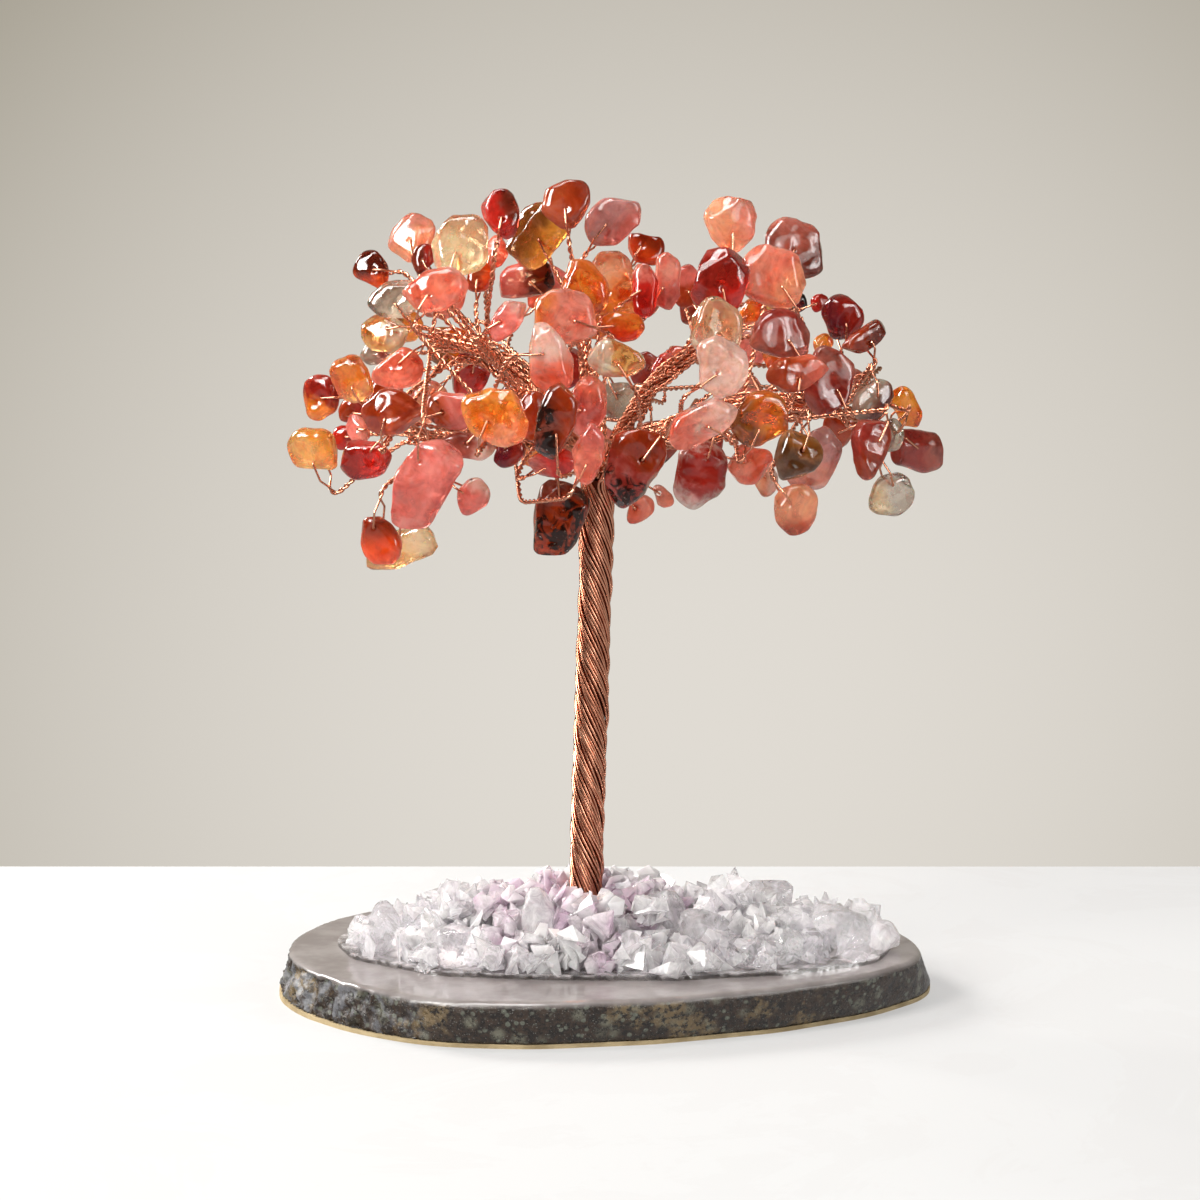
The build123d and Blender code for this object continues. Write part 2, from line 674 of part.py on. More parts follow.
def rod_blocks(points, diameter):
    """Square bars along a wire's runs, for finding out what lies clear of it."""
    half = diameter / 2
    square = [np.array((x, y)) * half for x, y in ((-1, -1), (1, -1), (1, 1), (-1, 1))]
    blocks = []
    for a, b in zip(points, points[1:]):
        normal = unit(b - a)
        length = np.linalg.norm(b - a)
        blocks.append(Block((a + b) / 2, flat_on(ODD_WAY, normal), normal, square, length / 2))
    return blocks


def lay_out_stones():
    """Every stone where the photograph shows it, moved only as far as it takes to lie clear."""
    dice = random.Random(DICE_SEED)
    stones = []
    for row in STONE_PLACE_SHARES:
        side = "left" if row[1] < PHOTO_CENTRE_PX else "right"
        stones.append(Stone(f"{row[0]}_stones_{side}", row[1:], False, dice))
    for row in SWING_STONE_SHARES:
        stones.append(Stone(row[0], row[1:], True, dice))
    bars = rod_blocks([FOOT, FORK], TRUNK_DIAMETER + 2 * STONE_GAP)
    for points in LIMBS.values():
        bars += rod_blocks(points, LIMB_DIAMETER + 2 * TWIST_DIAMETER)
    bodies = [stone.blocks[0] for stone in stones]
    for _ in range(SETTLE_ROUNDS):
        moved = False
        for i, j in near_pairs(bodies, bodies):
            push = push_apart(bodies[i], bodies[j]) if i < j else None
            if push is not None:
                stones[i].move(push * SETTLE_SHARE)
                stones[j].move(-push * SETTLE_SHARE)
                moved = True
        for i, j in near_pairs(bodies, bars):
            push = push_apart(bodies[i], bars[j])
            if push is not None:
                stones[i].move(push * 2 * SETTLE_SHARE)
                moved = True
        if not moved:
            break
    return stones


def near_pairs(some, others):
    """The pairs of blocks, one of each list, that lie near enough to touch."""
    spans = np.array([b.origin for b in some])[:, None] - np.array([b.origin for b in others])
    reaches = np.array([b.reach for b in some])[:, None] + np.array([b.reach for b in others])
    return np.argwhere(np.linalg.norm(spans, axis=2) < reaches)


def segment_gaps(starts_a, ends_a, starts_b, ends_b):
    """The distance from each segment of one set to each of the other."""
    a = (ends_a - starts_a)[:, None, :]
    b = (ends_b - starts_b)[None, :, :]
    r = starts_a[:, None, :] - starts_b[None, :, :]
    aa, bb, ab = (a * a).sum(-1), (b * b).sum(-1), (a * b).sum(-1)
    ar, br = (a * r).sum(-1), (b * r).sum(-1)
    slant = np.maximum(aa * bb - ab * ab, TINY)
    s = np.clip((ab * br - ar * bb) / slant, 0.0, 1.0)
    t = np.clip((ab * s + br) / bb, 0.0, 1.0)
    s = np.clip((ab * t - ar) / aa, 0.0, 1.0)
    return np.linalg.norm(r + a * s[..., None] - b * t[..., None], axis=-1)


def limb_station(points, share):
    """A point on a limb and its direction there, by share of its length."""
    runs = [np.linalg.norm(b - a) for a, b in zip(points, points[1:])]
    left = share * sum(runs)
    for a, b, run in zip(points, points[1:], runs):
        if left <= run or b is points[-1]:
            return a + (b - a) * min(left / run, 1.0), (b - a) / run
        left -= run


def possible_ways(stone, names, bows):
    """Ways from stations on these limbs to the stone's eye: start, middle, lead and end."""
    end = stone.twist_end()
    lead = end + stone.to_twist * TWIST_LEAD
    ways = []
    for name in names:
        for share in LIMB_STATION_SHARES:
            on_limb, along = limb_station(LIMBS[name], share)
            for bow in bows:
                for k in range(BOW_SIDES if bow else 1):
                    span = np.linalg.norm(lead - on_limb)
                    if span < TWIST_LEAD:
                        continue
                    straight = (lead - on_limb) / span
                    one = flat_on(ODD_WAY, straight)
                    angle = math.tau * k / BOW_SIDES
                    bulge = one * math.cos(angle) + np.cross(straight, one) * math.sin(angle)
                    middle = (on_limb + lead) / 2 + bulge * bow * span
                    # The end face just clears the limb's side
                    out = flat_on(middle - on_limb, along)
                    slope = unit(middle - on_limb) @ out
                    lift = TWIST_DIAMETER / 2 * math.sqrt(max(1 - slope**2, 0.0))
                    start = on_limb + out * (LIMB_DIAMETER / 2 + WIRE_GAP + lift)
                    backward = 1 - unit(middle - start) @ along
                    cost = span * (1 + bow + BACKWARD_COST_SHARE * backward)
                    ways.append((cost, name, np.array((start, middle, lead, end))))
    return ways


def sampled(ways):
    """Points along each of a stack of ways."""
    steps = np.linspace(0.0, 1.0, ROUTE_SAMPLES)[None, None, :, None]
    line = ways[:, :-1, None, :] * (1 - steps) + ways[:, 1:, None, :] * steps
    return line.reshape(len(ways), -1, 3)


def spare_room(stone, ways, blocks, laid):
    """For each way, the least room past what its neighbours need."""
    corners = np.array([way[2] for way in ways])
    count = len(ways)
    starts, ends = corners[:, :-1].reshape(-1, 3), corners[:, 1:].reshape(-1, 3)
    half = TWIST_DIAMETER / 2
    room = np.full(count, CROWN_WIDTH)
    if laid:
        laid_from = np.concatenate([way[:-1] for way in laid])
        laid_to = np.concatenate([way[1:] for way in laid])
        gaps = segment_gaps(starts, ends, laid_from, laid_to).reshape(count, -1).min(axis=1)
        room = np.minimum(room, gaps - TWIST_DIAMETER - TWIST_ROOM)
    for name, points in LIMBS.items():
        points = np.array(points)
        own = np.array([way[1] == name for way in ways])
        first = np.array([k % 3 == 0 for k in range(3 * count)])
        skipped = np.repeat(own, 3) & first
        begin = np.where(skipped[:, None], starts + (ends - starts) * OWN_LIMB_SHARE, starts)
        gaps = segment_gaps(begin, ends, points[:-1], points[1:]).reshape(count, -1).min(axis=1)
        room = np.minimum(room, gaps - LIMB_DIAMETER / 2 - half - WIRE_GAP)
    line = sampled(corners)
    for block in blocks:
        room = np.minimum(room, block.gap_to(line).min(axis=1) - half)
    inner = line[:, : -ROUTE_SAMPLES // 2]
    room = np.minimum(room, stone.blocks[0].gap_to(inner).min(axis=1) - half)
    return room


def route_twists(stones):
    """For each stone, a way from a limb to its eye that lies clear of all else."""
    bars = rod_blocks([FOOT, FORK], TRUNK_DIAMETER)
    for points in LIMBS.values():
        bars += rod_blocks(points, LIMB_DIAMETER)
    laid, routes = [], {}
    tiers = (
        (EYE_TURNS[:1], (0.0,)),
        (EYE_TURNS, (0.0,)),
        (EYE_TURNS[:3], BOW_SHARES[:2]),
        (EYE_TURNS, BOW_SHARES),
    )
    # The swinging stones, whose holes can least be turned, come first
    order = sorted(stones, key=lambda s: (not s.swings, np.linalg.norm(s.centre - s.carrier)))
    for stone in order:
        spot = stone.centre[None]
        gaps = {
            name: segment_gaps(spot, spot + UP * WIRE_GAP, np.array(p[:-1]), np.array(p[1:])).min()
            for name, p in LIMBS.items()
        }
        names = sorted(LIMBS, key=gaps.get)[:LIMB_CHOICES]
        others = [b for s in stones if s is not stone for b in s.blocks]
        near_by = NEIGHBOURHOOD_SHARE * CROWN_WIDTH
        near = [b for b in others if np.linalg.norm(b.origin - stone.hole) < near_by]
        line = sampled(np.array(laid)) if laid else None
        best = None
        for turns, bows in tiers:
            for turn in turns:
                stone.aim(turn)
                # Turning a fixed stone's hole moves its eye alone, but a swinging one sweeps elsewhere
                moved = stone.blocks if stone.swings and turn else stone.blocks[1:]
                clash = any(push_apart(own, b) is not None for own in moved for b in near + bars)
                if laid and not clash:
                    clash = any(own.gap_to(line).min() < TWIST_DIAMETER / 2 for own in moved)
                ways = possible_ways(stone, names, bows)
                room = spare_room(stone, ways, near + bars[:1], laid)
                share = SWING_TURN_COST_SHARE if stone.swings else TURN_COST_SHARE
                penalty = PIXEL * abs(turn) * share
                for way, spare in zip(ways, room):
                    spare = min(spare, 0.0) - (TWIST_DIAMETER if clash else 0.0)
                    rank = (spare < 0, -spare if spare < 0 else way[0] + penalty)
                    if best is None or rank < best[0]:
                        best = (rank, way, turn, spare)
            if not best[0][0]:
                break
        stone.aim(best[2])
        routes[id(stone)] = best[1:]
        laid.append(best[1][2])
    return routes


def closed_outline(shares, width, depth, bend):
    """A rounded outline through points given as shares of a width and a depth."""
    points = [np.array((u * width, v * depth)) for u, v in shares]
    radii = bend_radii(points, bend, closed=True)
    return FilletPolyline(*[tuple(p) for p in points], radius=radii, close=True)


def slab():
    """The polished slice: its foot and its top have outlines of their own, and the rim is round."""
    foot = closed_outline(SLAB_FOOT_SHARES, SLAB_WIDTH, SLAB_DEPTH, SLAB_CORNER_ROUND)
    top = closed_outline(SLAB_TOP_SHARES, SLAB_WIDTH, SLAB_DEPTH, SLAB_CORNER_ROUND)
    faces = [Pos(Z=SLAB_FOOT) * make_face(foot), Pos(Z=SLAB_TOP) * make_face(top)]
    body = loft(faces, ruled=True)
    return fillet(body.faces().sort_by(Axis.Z)[-1].edges(), SLAB_TOP_ROUND)


def backing():
    """The thin sheet glued under the slice."""
    foot = closed_outline(SLAB_FOOT_SHARES, SLAB_WIDTH, SLAB_DEPTH, SLAB_CORNER_ROUND)
    return extrude(offset(make_face(foot), amount=-BACKING_INSET), amount=BACKING_THICKNESS)


def domes():
    """Each dome of the resin: its sphere's centre and radius."""
    found = []
    for across, back, size, rise in DOME_SHARES:
        base, height = DOME_DIAMETER * size / 2, DOME_HEIGHT * rise
        radius = (base**2 + height**2) / (2 * height)
        x = RESIN_SHIFT + across * RESIN_WIDTH
        found.append((np.array((x, back * RESIN_DEPTH, RESIN_TOP + height - radius)), radius))
    return found


def resin():
    """The puddle, its domes and the socket that the trunk stands in."""
    ring = closed_outline(RESIN_OUTLINE_SHARES, RESIN_WIDTH, RESIN_DEPTH, RESIN_CORNER_ROUND)
    body = extrude(Pos(RESIN_SHIFT, 0, SLAB_TOP) * make_face(ring), amount=RESIN_THICKNESS)
    above = Pos(RESIN_SHIFT, 0, SLAB_TOP) * Box(
        RESIN_WIDTH, RESIN_DEPTH, RESIN_TOP, align=(Align.CENTER, Align.CENTER, Align.MIN)
    )
    for centre, radius in domes():
        body += Pos(*centre) * Sphere(radius) & above
    socket = Plane(origin=tuple(FOOT), z_dir=tuple(AXIS))
    return body - socket * Cylinder(TRUNK_DIAMETER / 2 + FOOT_GAP, 2 * TRUNK_HEIGHT)


def resin_height(x, y):
    """The height of the resin's surface."""
    height = RESIN_TOP
    for centre, radius in domes():
        rest = radius**2 - (x - centre[0]) ** 2 - (y - centre[1]) ** 2
        if rest > 0:
            height = max(height, centre[2] + math.sqrt(rest))
    return height


def inside_resin(x, y, margin):
    """Whether a place lies on the puddle, further than a margin from its rim."""
    points = [
        np.array((RESIN_SHIFT + u * RESIN_WIDTH, v * RESIN_DEPTH)) for u, v in RESIN_OUTLINE_SHARES
    ]
    for a, b in zip(points, points[1:] + points[:1]):
        edge = unit(b - a)
        if edge[0] * (y - a[1]) - edge[1] * (x - a[0]) < margin:
            return False
    return True


def trunk_side(place):
    """From the trunk's axis to a place: the direction and the distance."""
    away = place - FOOT
    away = away - (away @ AXIS) * AXIS
    return unit(away), np.linalg.norm(away)


def chip_seeds(dice):
    """Where the chips lie: place, size as a share of the usual size, and whether it is a chunk."""
    seeds = []
    for u, v, size in CHUNK_SIZE_SHARES:
        x, y = RESIN_SHIFT + u * RESIN_WIDTH, v * RESIN_DEPTH
        rise = CHIP_HEIGHT * size / 2
        seeds.append((np.array((x, y, resin_height(x, y) + rise)), size, True))
    chunks = list(seeds)
    for pitch, layer in ((CHIP_PITCH, 0), (TOP_CHIP_PITCH, 1)):
        row_step = pitch * math.sqrt(3) / 2
        rows = math.ceil(RESIN_DEPTH / row_step / 2)
        columns = math.ceil(RESIN_WIDTH / pitch / 2)
        for row in range(-rows, rows + 1):
            for column in range(-columns, columns + 1):
                jitter = [dice.uniform(-1, 1) * CHIP_JITTER_SHARE * pitch for _ in range(3)]
                x = RESIN_SHIFT + (column + row % 2 / 2) * pitch + jitter[0]
                y = row * row_step + jitter[1]
                size = dice.uniform(*CHIP_SIZE_SHARES)
                if not inside_resin(x, y, CHIP_EDGE_MARGIN):
                    continue
                rise = CHIP_HEIGHT * (CHIP_RISE_SHARE + LAYER_RISE_SHARE * layer)
                z = resin_height(x, y) + rise + jitter[2] / 2
                if layer and ((x - TRUNK_FOOT_X) * 2 / HEAP_WIDTH) ** 2 + (y * 2 / HEAP_DEPTH) ** 2 > 1:
                    continue
                place = np.array((x, y, z))
                if trunk_side(place)[1] < TRUNK_DIAMETER / 2 + TRUNK_ROOM_SHARE * CHIP_PITCH:
                    continue
                room = CHUNK_ROOM_SHARE * CHIP_PITCH
                if any(np.linalg.norm(place - c[0]) < room * c[1] for c in chunks):
                    continue
                seeds.append((place, size, False))
    return seeds


def cut_faces(faces, point, normal):
    """Cut a convex body, given as the corner loops of its faces, by a plane; keep what is below."""
    kept, rim = [], []
    for loop in faces:
        heights = [(p - point) @ normal for p in loop]
        if max(heights) <= 0:
            kept.append(loop)
            continue
        if min(heights) >= 0:
            continue
        fresh = []
        for i, p in enumerate(loop):
            q, hp, hq = loop[i - 1], heights[i], heights[i - 1]
            if (hp > 0) != (hq > 0):
                crossing = q + (p - q) * (hq / (hq - hp))
                fresh.append(crossing)
                rim.append(crossing)
            if hp <= 0:
                fresh.append(p)
        kept.append(fresh)
    if len(rim) < 3:
        return kept
    middle = sum(rim) / len(rim)
    one = flat_on(ODD_WAY, normal)
    two = np.cross(normal, one)
    rim.sort(key=lambda p: math.atan2((p - middle) @ two, (p - middle) @ one))
    return kept + [rim]


def distinct(loop, least):
    """A corner loop without corners that lie on one another."""
    return [p for i, p in enumerate(loop) if np.linalg.norm(p - loop[i - 1]) > least]


def chip_body(i, seeds, dice):
    """One angular chip: the room between its neighbours, the resin and the trunk, cut by facets."""
    place, size, _ = seeds[i]
    reach = CHIP_PITCH * size
    corners = np.array([(x, y, z) for x in (-1, 1) for y in (-1, 1) for z in (-1, 1)]) * reach
    sides = ((0, 1, 3, 2), (4, 6, 7, 5), (0, 4, 5, 1), (2, 3, 7, 6), (0, 2, 6, 4), (1, 5, 7, 3))
    faces = [[place + corners[k] for k in side] for side in sides]
    for j, (other, other_size, _) in enumerate(seeds):
        gap = other - place
        span = np.linalg.norm(gap)
        if j == i or span > NEIGHBOUR_SHARE * reach + CHIP_PITCH:
            continue
        share = size / (size + other_size)
        faces = cut_faces(faces, place + gap * share - gap / span * CHIP_GAP / 2, gap / span)
    faces = cut_faces(faces, np.array((0, 0, RESIN_TOP + CHIP_SEAT)), -UP)
    for centre, radius in domes():
        out = unit(place - centre)
        if centre[2] + radius > RESIN_TOP:
            faces = cut_faces(faces, centre + out * (radius + CHIP_SEAT), -out)
    out, _ = trunk_side(place)
    along = ((place - FOOT) @ AXIS) * AXIS
    faces = cut_faces(faces, FOOT + along + out * (TRUNK_DIAMETER / 2 + FOOT_GAP), -out)
    low, high = CHIP_REACH_SHARES
    stretch = [dice.uniform(*CHIP_LENGTH_SHARES), dice.uniform(*CHIP_BREADTH_SHARES), 1.0]
    spin = dice.uniform(0, math.tau)
    for _ in range(CHIP_FACETS):
        way = unit(np.array([dice.gauss(0, 1), dice.gauss(0, 1), dice.gauss(*FACET_LIFT_SHARES)]))
        ahead = way[0] * math.cos(spin) + way[1] * math.sin(spin)
        aside = way[1] * math.cos(spin) - way[0] * math.sin(spin)
        reached = np.linalg.norm(np.array((ahead, aside, way[2])) * stretch)
        distance = reached * CHIP_HEIGHT * size * dice.uniform(low, high)
        faces = cut_faces(faces, place + way * distance, way)
    loops = [distinct(loop, SHORTEST_EDGE) for loop in faces]
    loops = [loop for loop in loops if len(loop) > 2]
    points = np.concatenate(loops)
    if (points.max(axis=0) - points.min(axis=0)).min() < SMALLEST_CHIP_SHARE * CHIP_HEIGHT:
        return None
    return Solid(Shell([Face(Wire.make_polygon([tuple(p) for p in loop])) for loop in loops]))


def chips():
    """The crushed quartz, by node: rose chips round the trunk, clear ones by side, and chunks."""
    dice = random.Random(DICE_SEED)
    seeds = chip_seeds(dice)
    nodes = {}
    for i, (place, _, chunk) in enumerate(seeds):
        body = chip_body(i, seeds, dice)
        rose = trunk_side(place)[1] < ROSE_RADIUS and dice.random() < ROSE_SHARE
        if body is None:
            continue
        if chunk:
            node = "crystal_chunks"
        elif rose:
            node = "rose_quartz_chips"
        elif abs(place[0] - TRUNK_FOOT_X) > abs(place[1]) * SIDE_HEAP_SHARE:
            node = "quartz_chips_left" if place[0] < TRUNK_FOOT_X else "quartz_chips_right"
        else:
            node = "quartz_chips_front" if place[1] < 0 else "quartz_chips_back"
        nodes.setdefault(node, []).append(body)
    return nodes


def trunk_core():
    """The straight bundle of inner wires, whose ends are flat."""
    radius = TRUNK_DIAMETER / 2 - TRUNK_WIRE - WIRE_GAP - strand_sag()
    foot = Plane(origin=tuple(FOOT), z_dir=tuple(AXIS))
    return extrude(foot * Circle(radius), amount=TRUNK_HEIGHT)


def strand_sag():
    """How far an outer wire's arcs pass inside the helix's points."""
    radius = (TRUNK_DIAMETER - TRUNK_WIRE) / 2
    return radius * (1 - math.cos(math.pi / LAY_POINTS))


def trunk_strands():
    """One layer of outer wires, wound side by side up the core."""
    radius = (TRUNK_DIAMETER - TRUNK_WIRE) / 2
    slant = math.atan(math.tau * radius / TRUNK_LAY)
    inner = radius - strand_sag()
    count = math.floor(math.tau * inner * math.cos(slant) / (TRUNK_WIRE + WIRE_GAP))
    side = unit(np.cross(BACKWARD, AXIS))
    back = np.cross(AXIS, side)
    steps = math.ceil(TRUNK_HEIGHT / TRUNK_LAY * LAY_POINTS)
    points = []
    for i in range(steps + 1):
        rise = TRUNK_HEIGHT * i / steps
        angle = -math.tau * rise / TRUNK_LAY
        spoke = side * math.cos(angle) + back * math.sin(angle)
        points.append(FOOT + AXIS * rise + spoke * radius)
    wire = bent_wire(points, TRUNK_WIRE, TRUNK_LAY)
    ends = Plane(origin=tuple(FOOT), z_dir=tuple(AXIS)) * Cylinder(
        TRUNK_DIAMETER, TRUNK_HEIGHT, align=(Align.CENTER, Align.CENTER, Align.MIN)
    )
    wire = (wire & ends).solid()
    axis = Axis(tuple(FOOT), tuple(AXIS))
    return [wire.rotate(axis, 360 * k / count) for k in range(count)]


def limb(name):
    """One limb: a bundle of twists with a rounded tip."""
    points = LIMBS[name]
    body = bent_wire(points, LIMB_DIAMETER, LIMB_BEND)
    tip = body.faces().sort_by_distance(Vertex(*points[-1]))[0]
    return fillet(tip.edges(), LIMB_DIAMETER * LIMB_TIP_SHARE)


def twist(route):
    """A twisted pair from its limb to its eye, without a middle that doesn't turn."""
    return bent_wire(list(route), TWIST_DIAMETER, TWIST_BEND)


def save(node, bodies):
    """Write one node's solids."""
    for body in bodies:
        body.label = node
    shape = bodies[0] if len(bodies) == 1 else Compound(children=bodies)
    shape.label = node
    export_step(shape, f"parts/{node}.step")


def as_solids(shape):
    return [Solid(s.wrapped) for s in shape.solids()]


def main():
    os.makedirs("parts", exist_ok=True)
    nodes = {
        "backing_sheet": as_solids(backing()),
        "base_slab": as_solids(slab()),
        "resin_bed": as_solids(resin()),
        "trunk_core": as_solids(trunk_core()),
        "trunk_strands": trunk_strands(),
    }
    nodes.update(chips())
    for name in LIMBS:
        nodes[f"{name}_limb"] = as_solids(limb(name))
    stones = lay_out_stones()
    routes = route_twists(stones)
    for stone in stones:
        name = routes[id(stone)][0][1]
        nodes.setdefault(f"{name}_twists", []).extend(as_solids(twist(routes[id(stone)][0][2])))
        nodes.setdefault(f"{name}_eyes", []).extend(as_solids(stone.eye()))
        nodes.setdefault(stone.node, []).extend(as_solids(stone.solid()))
    for node, bodies in nodes.items():
        save(node, bodies)


if __name__ == "__main__":
    main()
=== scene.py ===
"""The looks of a gemstone tree: tumbled carnelian and agate on twisted copper wire, over crushed
quartz that is set in resin on a polished stone slice."""

import math
import random

import bmesh
import bpy
import numpy as np
from mathutils import Matrix, Vector, noise
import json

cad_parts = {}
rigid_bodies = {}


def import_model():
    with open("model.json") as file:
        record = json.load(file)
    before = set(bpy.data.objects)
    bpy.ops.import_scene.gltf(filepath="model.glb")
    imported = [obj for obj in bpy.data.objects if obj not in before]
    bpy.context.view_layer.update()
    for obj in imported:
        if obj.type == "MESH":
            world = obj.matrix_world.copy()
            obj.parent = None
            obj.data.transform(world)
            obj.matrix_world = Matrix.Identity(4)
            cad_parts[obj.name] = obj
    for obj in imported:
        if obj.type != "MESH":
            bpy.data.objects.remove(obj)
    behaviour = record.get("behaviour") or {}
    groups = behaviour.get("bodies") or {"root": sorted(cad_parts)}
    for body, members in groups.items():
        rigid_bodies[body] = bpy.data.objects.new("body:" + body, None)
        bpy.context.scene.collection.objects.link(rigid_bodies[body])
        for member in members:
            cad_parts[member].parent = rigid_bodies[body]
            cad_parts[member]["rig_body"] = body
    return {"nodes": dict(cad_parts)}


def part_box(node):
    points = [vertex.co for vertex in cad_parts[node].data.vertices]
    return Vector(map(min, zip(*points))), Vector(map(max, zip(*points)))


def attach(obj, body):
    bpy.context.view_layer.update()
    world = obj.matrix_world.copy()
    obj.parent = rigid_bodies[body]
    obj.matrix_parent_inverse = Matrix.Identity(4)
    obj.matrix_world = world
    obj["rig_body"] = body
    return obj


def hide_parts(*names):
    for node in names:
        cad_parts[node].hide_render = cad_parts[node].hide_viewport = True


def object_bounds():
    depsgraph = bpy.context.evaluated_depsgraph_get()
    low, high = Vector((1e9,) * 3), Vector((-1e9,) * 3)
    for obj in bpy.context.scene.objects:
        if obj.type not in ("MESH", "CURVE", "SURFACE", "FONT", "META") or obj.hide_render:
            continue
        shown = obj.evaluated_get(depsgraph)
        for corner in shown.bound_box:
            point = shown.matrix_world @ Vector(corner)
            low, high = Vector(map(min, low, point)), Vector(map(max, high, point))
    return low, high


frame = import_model()
cad_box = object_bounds()

# Lengths are in millimetres and amounts are shares, where nothing else is said
MM = 0.001

# Corners this near to each other are one corner
WELD = 0.001

# The camera that took the photograph: its place and near limit in metres, its picture in pixels
CAMERA_PLACE = Vector((-0.00112, -0.78785, 0.21352))
CAMERA_TILT = math.radians(10.0)
CAMERA_NEAR = 0.05
LENS = 130.44
SENSOR = 36.0
PHOTO_SIDE = 1200

# Windows that only polished things show: the way to them, the cosine of their half width, strength
WINDOWS = (
    ((-0.66, -0.54, 0.52), 0.975, 12.0),
    ((0.77, -0.56, 0.30), 0.955, 3.0),
    ((-0.30, -0.30, 0.90), 0.970, 9.0),
)
WINDOW_BLUR = 0.02

# Soft boxes: place, width and height in metres, watts, colour
LAMPS = {
    "window_box": ((-0.50, -0.42, 0.50), 0.26, 0.34, 5.2, (1.0, 0.985, 0.96)),
    "far_box": ((-0.50, 0.30, 0.40), 0.22, 0.22, 4.6, (1.0, 0.98, 0.95)),
    "fill_box": ((0.55, -0.40, 0.30), 0.12, 0.34, 1.0, (1.0, 1.0, 1.0)),
    "top_box": ((-0.05, -0.05, 0.75), 0.24, 0.18, 1.6, (1.0, 1.0, 1.0)),
}
LAMP_AIM = (0, 0, 0.09)

# The table, in metres: half its width and depth, how far behind the frame's middle it ends, thickness
TABLE_HALF = (2.0, 1.2)
TABLE_BACK = 0.101
TABLE_THICK = 0.03

# Copper wire, in twisted pairs. Easings are counts of rounds, and a winding starts towards one side
WIRE = 0.48
PAIR_LAY = 2.9
PAIR_STEPS = 9
PAIR_GAP = 0.01
LINE_STEP = 0.5
WINDING_START = np.array((0.3, 1.0, 0.4))

# A limb is a rope of pairs
LIMB_RADIUS = 1.0
LIMB_EASING = 12
ROPE_RADIUS = 1.15
ROPE_LAY = 23.0
ROPE_PAIRS = 4
ROPE_SEED = 11
SHORTEST_PAIR = 0.5
SHORTEST_COUNT = 8
RADIUS_SPREAD = (0.85, 1.15)
LAY_SPREAD = (0.8, 1.3)

# A twist is a pair, and its root runs along the limb between points that are counted from its start
TWIST_RADIUS = 0.42
TWIST_EASING = 10
ROOT_START = 4
ROOT_END = 6
ROOT_GAP = 3
ROOT_RISE = (0.8, 1.7)
ROOT_SLIP = 0.7
WEAVE = 0.9
WEAVE_LENGTH = 7.0

# The trunk's wires lie in bundles; noise shifts them round it by an angle in radians, and outward
TRUNK_WIRES = 28
TRUNK_WIRE = 0.49
TRUNK_LAY = 34.0
TRUNK_RADIUS = 3.0
TRUNK_LIMIT = 3.2
TRUNK_STEP = 1.0
TRUNK_EASING = 2
TRUNK_SEED = 5
TRUNK_BUNDLES = 7
BUNDLE_RISE = 0.45
TRUNK_NOISE = 1.4
TRUNK_SHIFT = 0.16
TRUNK_SWELL = 0.34
SHIFT_REACH = 13.0
SWELL_REACH = 10.0
FLARE_START = 6
FLARE_SKIP = 3
FLARE_LENGTH = 13.0
FLARE_SPREAD = (0.5, 1.0)
FLARE_OUT = (1.5, 1.1)

# A wire's middle line is read from its surface: how fine, how many corners a spot has, its spacing
LINE_GRAIN = 0.04
LINE_CORNERS = 8
LINE_SPACING = 0.12
SEAM = 0.01

# Stones
STONE_GRAIN = 0.34
STONE_SMOOTHING = 3
STONE_FACETS = 7
FACET_DEPTH = 0.17
FACET_SPREAD = (0.6, 1.6)
FACET_PRESS = 0.85
STONE_GROWTH = 1.04
STONE_SPARE = 0.25
STONE_DENTS = 0.36
STONE_DENT_SIZE = 4.6
DENT_SWELL = 0.6
DENT_RISE = 0.35
GROOVE_DEPTH = 1.1
GROOVE_SCALE = 1.3
GROOVE_SHIFT = Vector((7.0, 3.0, 5.0))

# Quartz; a chip's tilt is in degrees
CHIP_CORNERS = 13
LEAST_CORNERS = 5
CHIP_GROWTH = 1.08
CHIP_TILT = 60
CHIP_STRETCH = 0.22
LARGE_CHIP = 2.6
CHIP_SPLITS = 3
CHIP_VARIETY = 1.8
SPLIT_TILT = 0.35
SPLIT_SHIFT = 0.12
MILK_START = 1.05
MILK_REACH = 52.0
MILK_SPREAD = 0.35
CHUNK_MILK = 0.6

# The slab: its rim starts below its top and is sunk by noise, and its left end is broken
SLAB_GRAIN = 0.58
SLAB_SMOOTHING = 3
SLAB_FLAT = 0.12
SLAB_FOOT = 0.2
RIM_START = 0.35
RIM_REACH = 0.8
RIM_SIDE = 0.3
RIM_SINK = 0.12
RIM_GRAIN = (0.9, 0.14)
RIM_LUMPS = ((4.1, 2.4), (1.7, 0.7))
LUMP_SHARE = 0.14
BREAK_START = 30
BREAK_REACH = 14
BREAK_BACK = 20

# How many pixels a stone may lie from its row in the tables below, and how many of them each
# millimetre of its depth counts for
MATCH_LIMIT = 16
MATCH_DEPTH = 0.1


def srgb(red, green, blue):
    """A colour as it looks on screen, from 0 to 255, made linear."""
    shares = (level / 255 for level in (red, green, blue))
    return tuple(
        share / 12.92 if share <= 0.04045 else ((share + 0.055) / 1.055) ** 2.4 for share in shares
    )


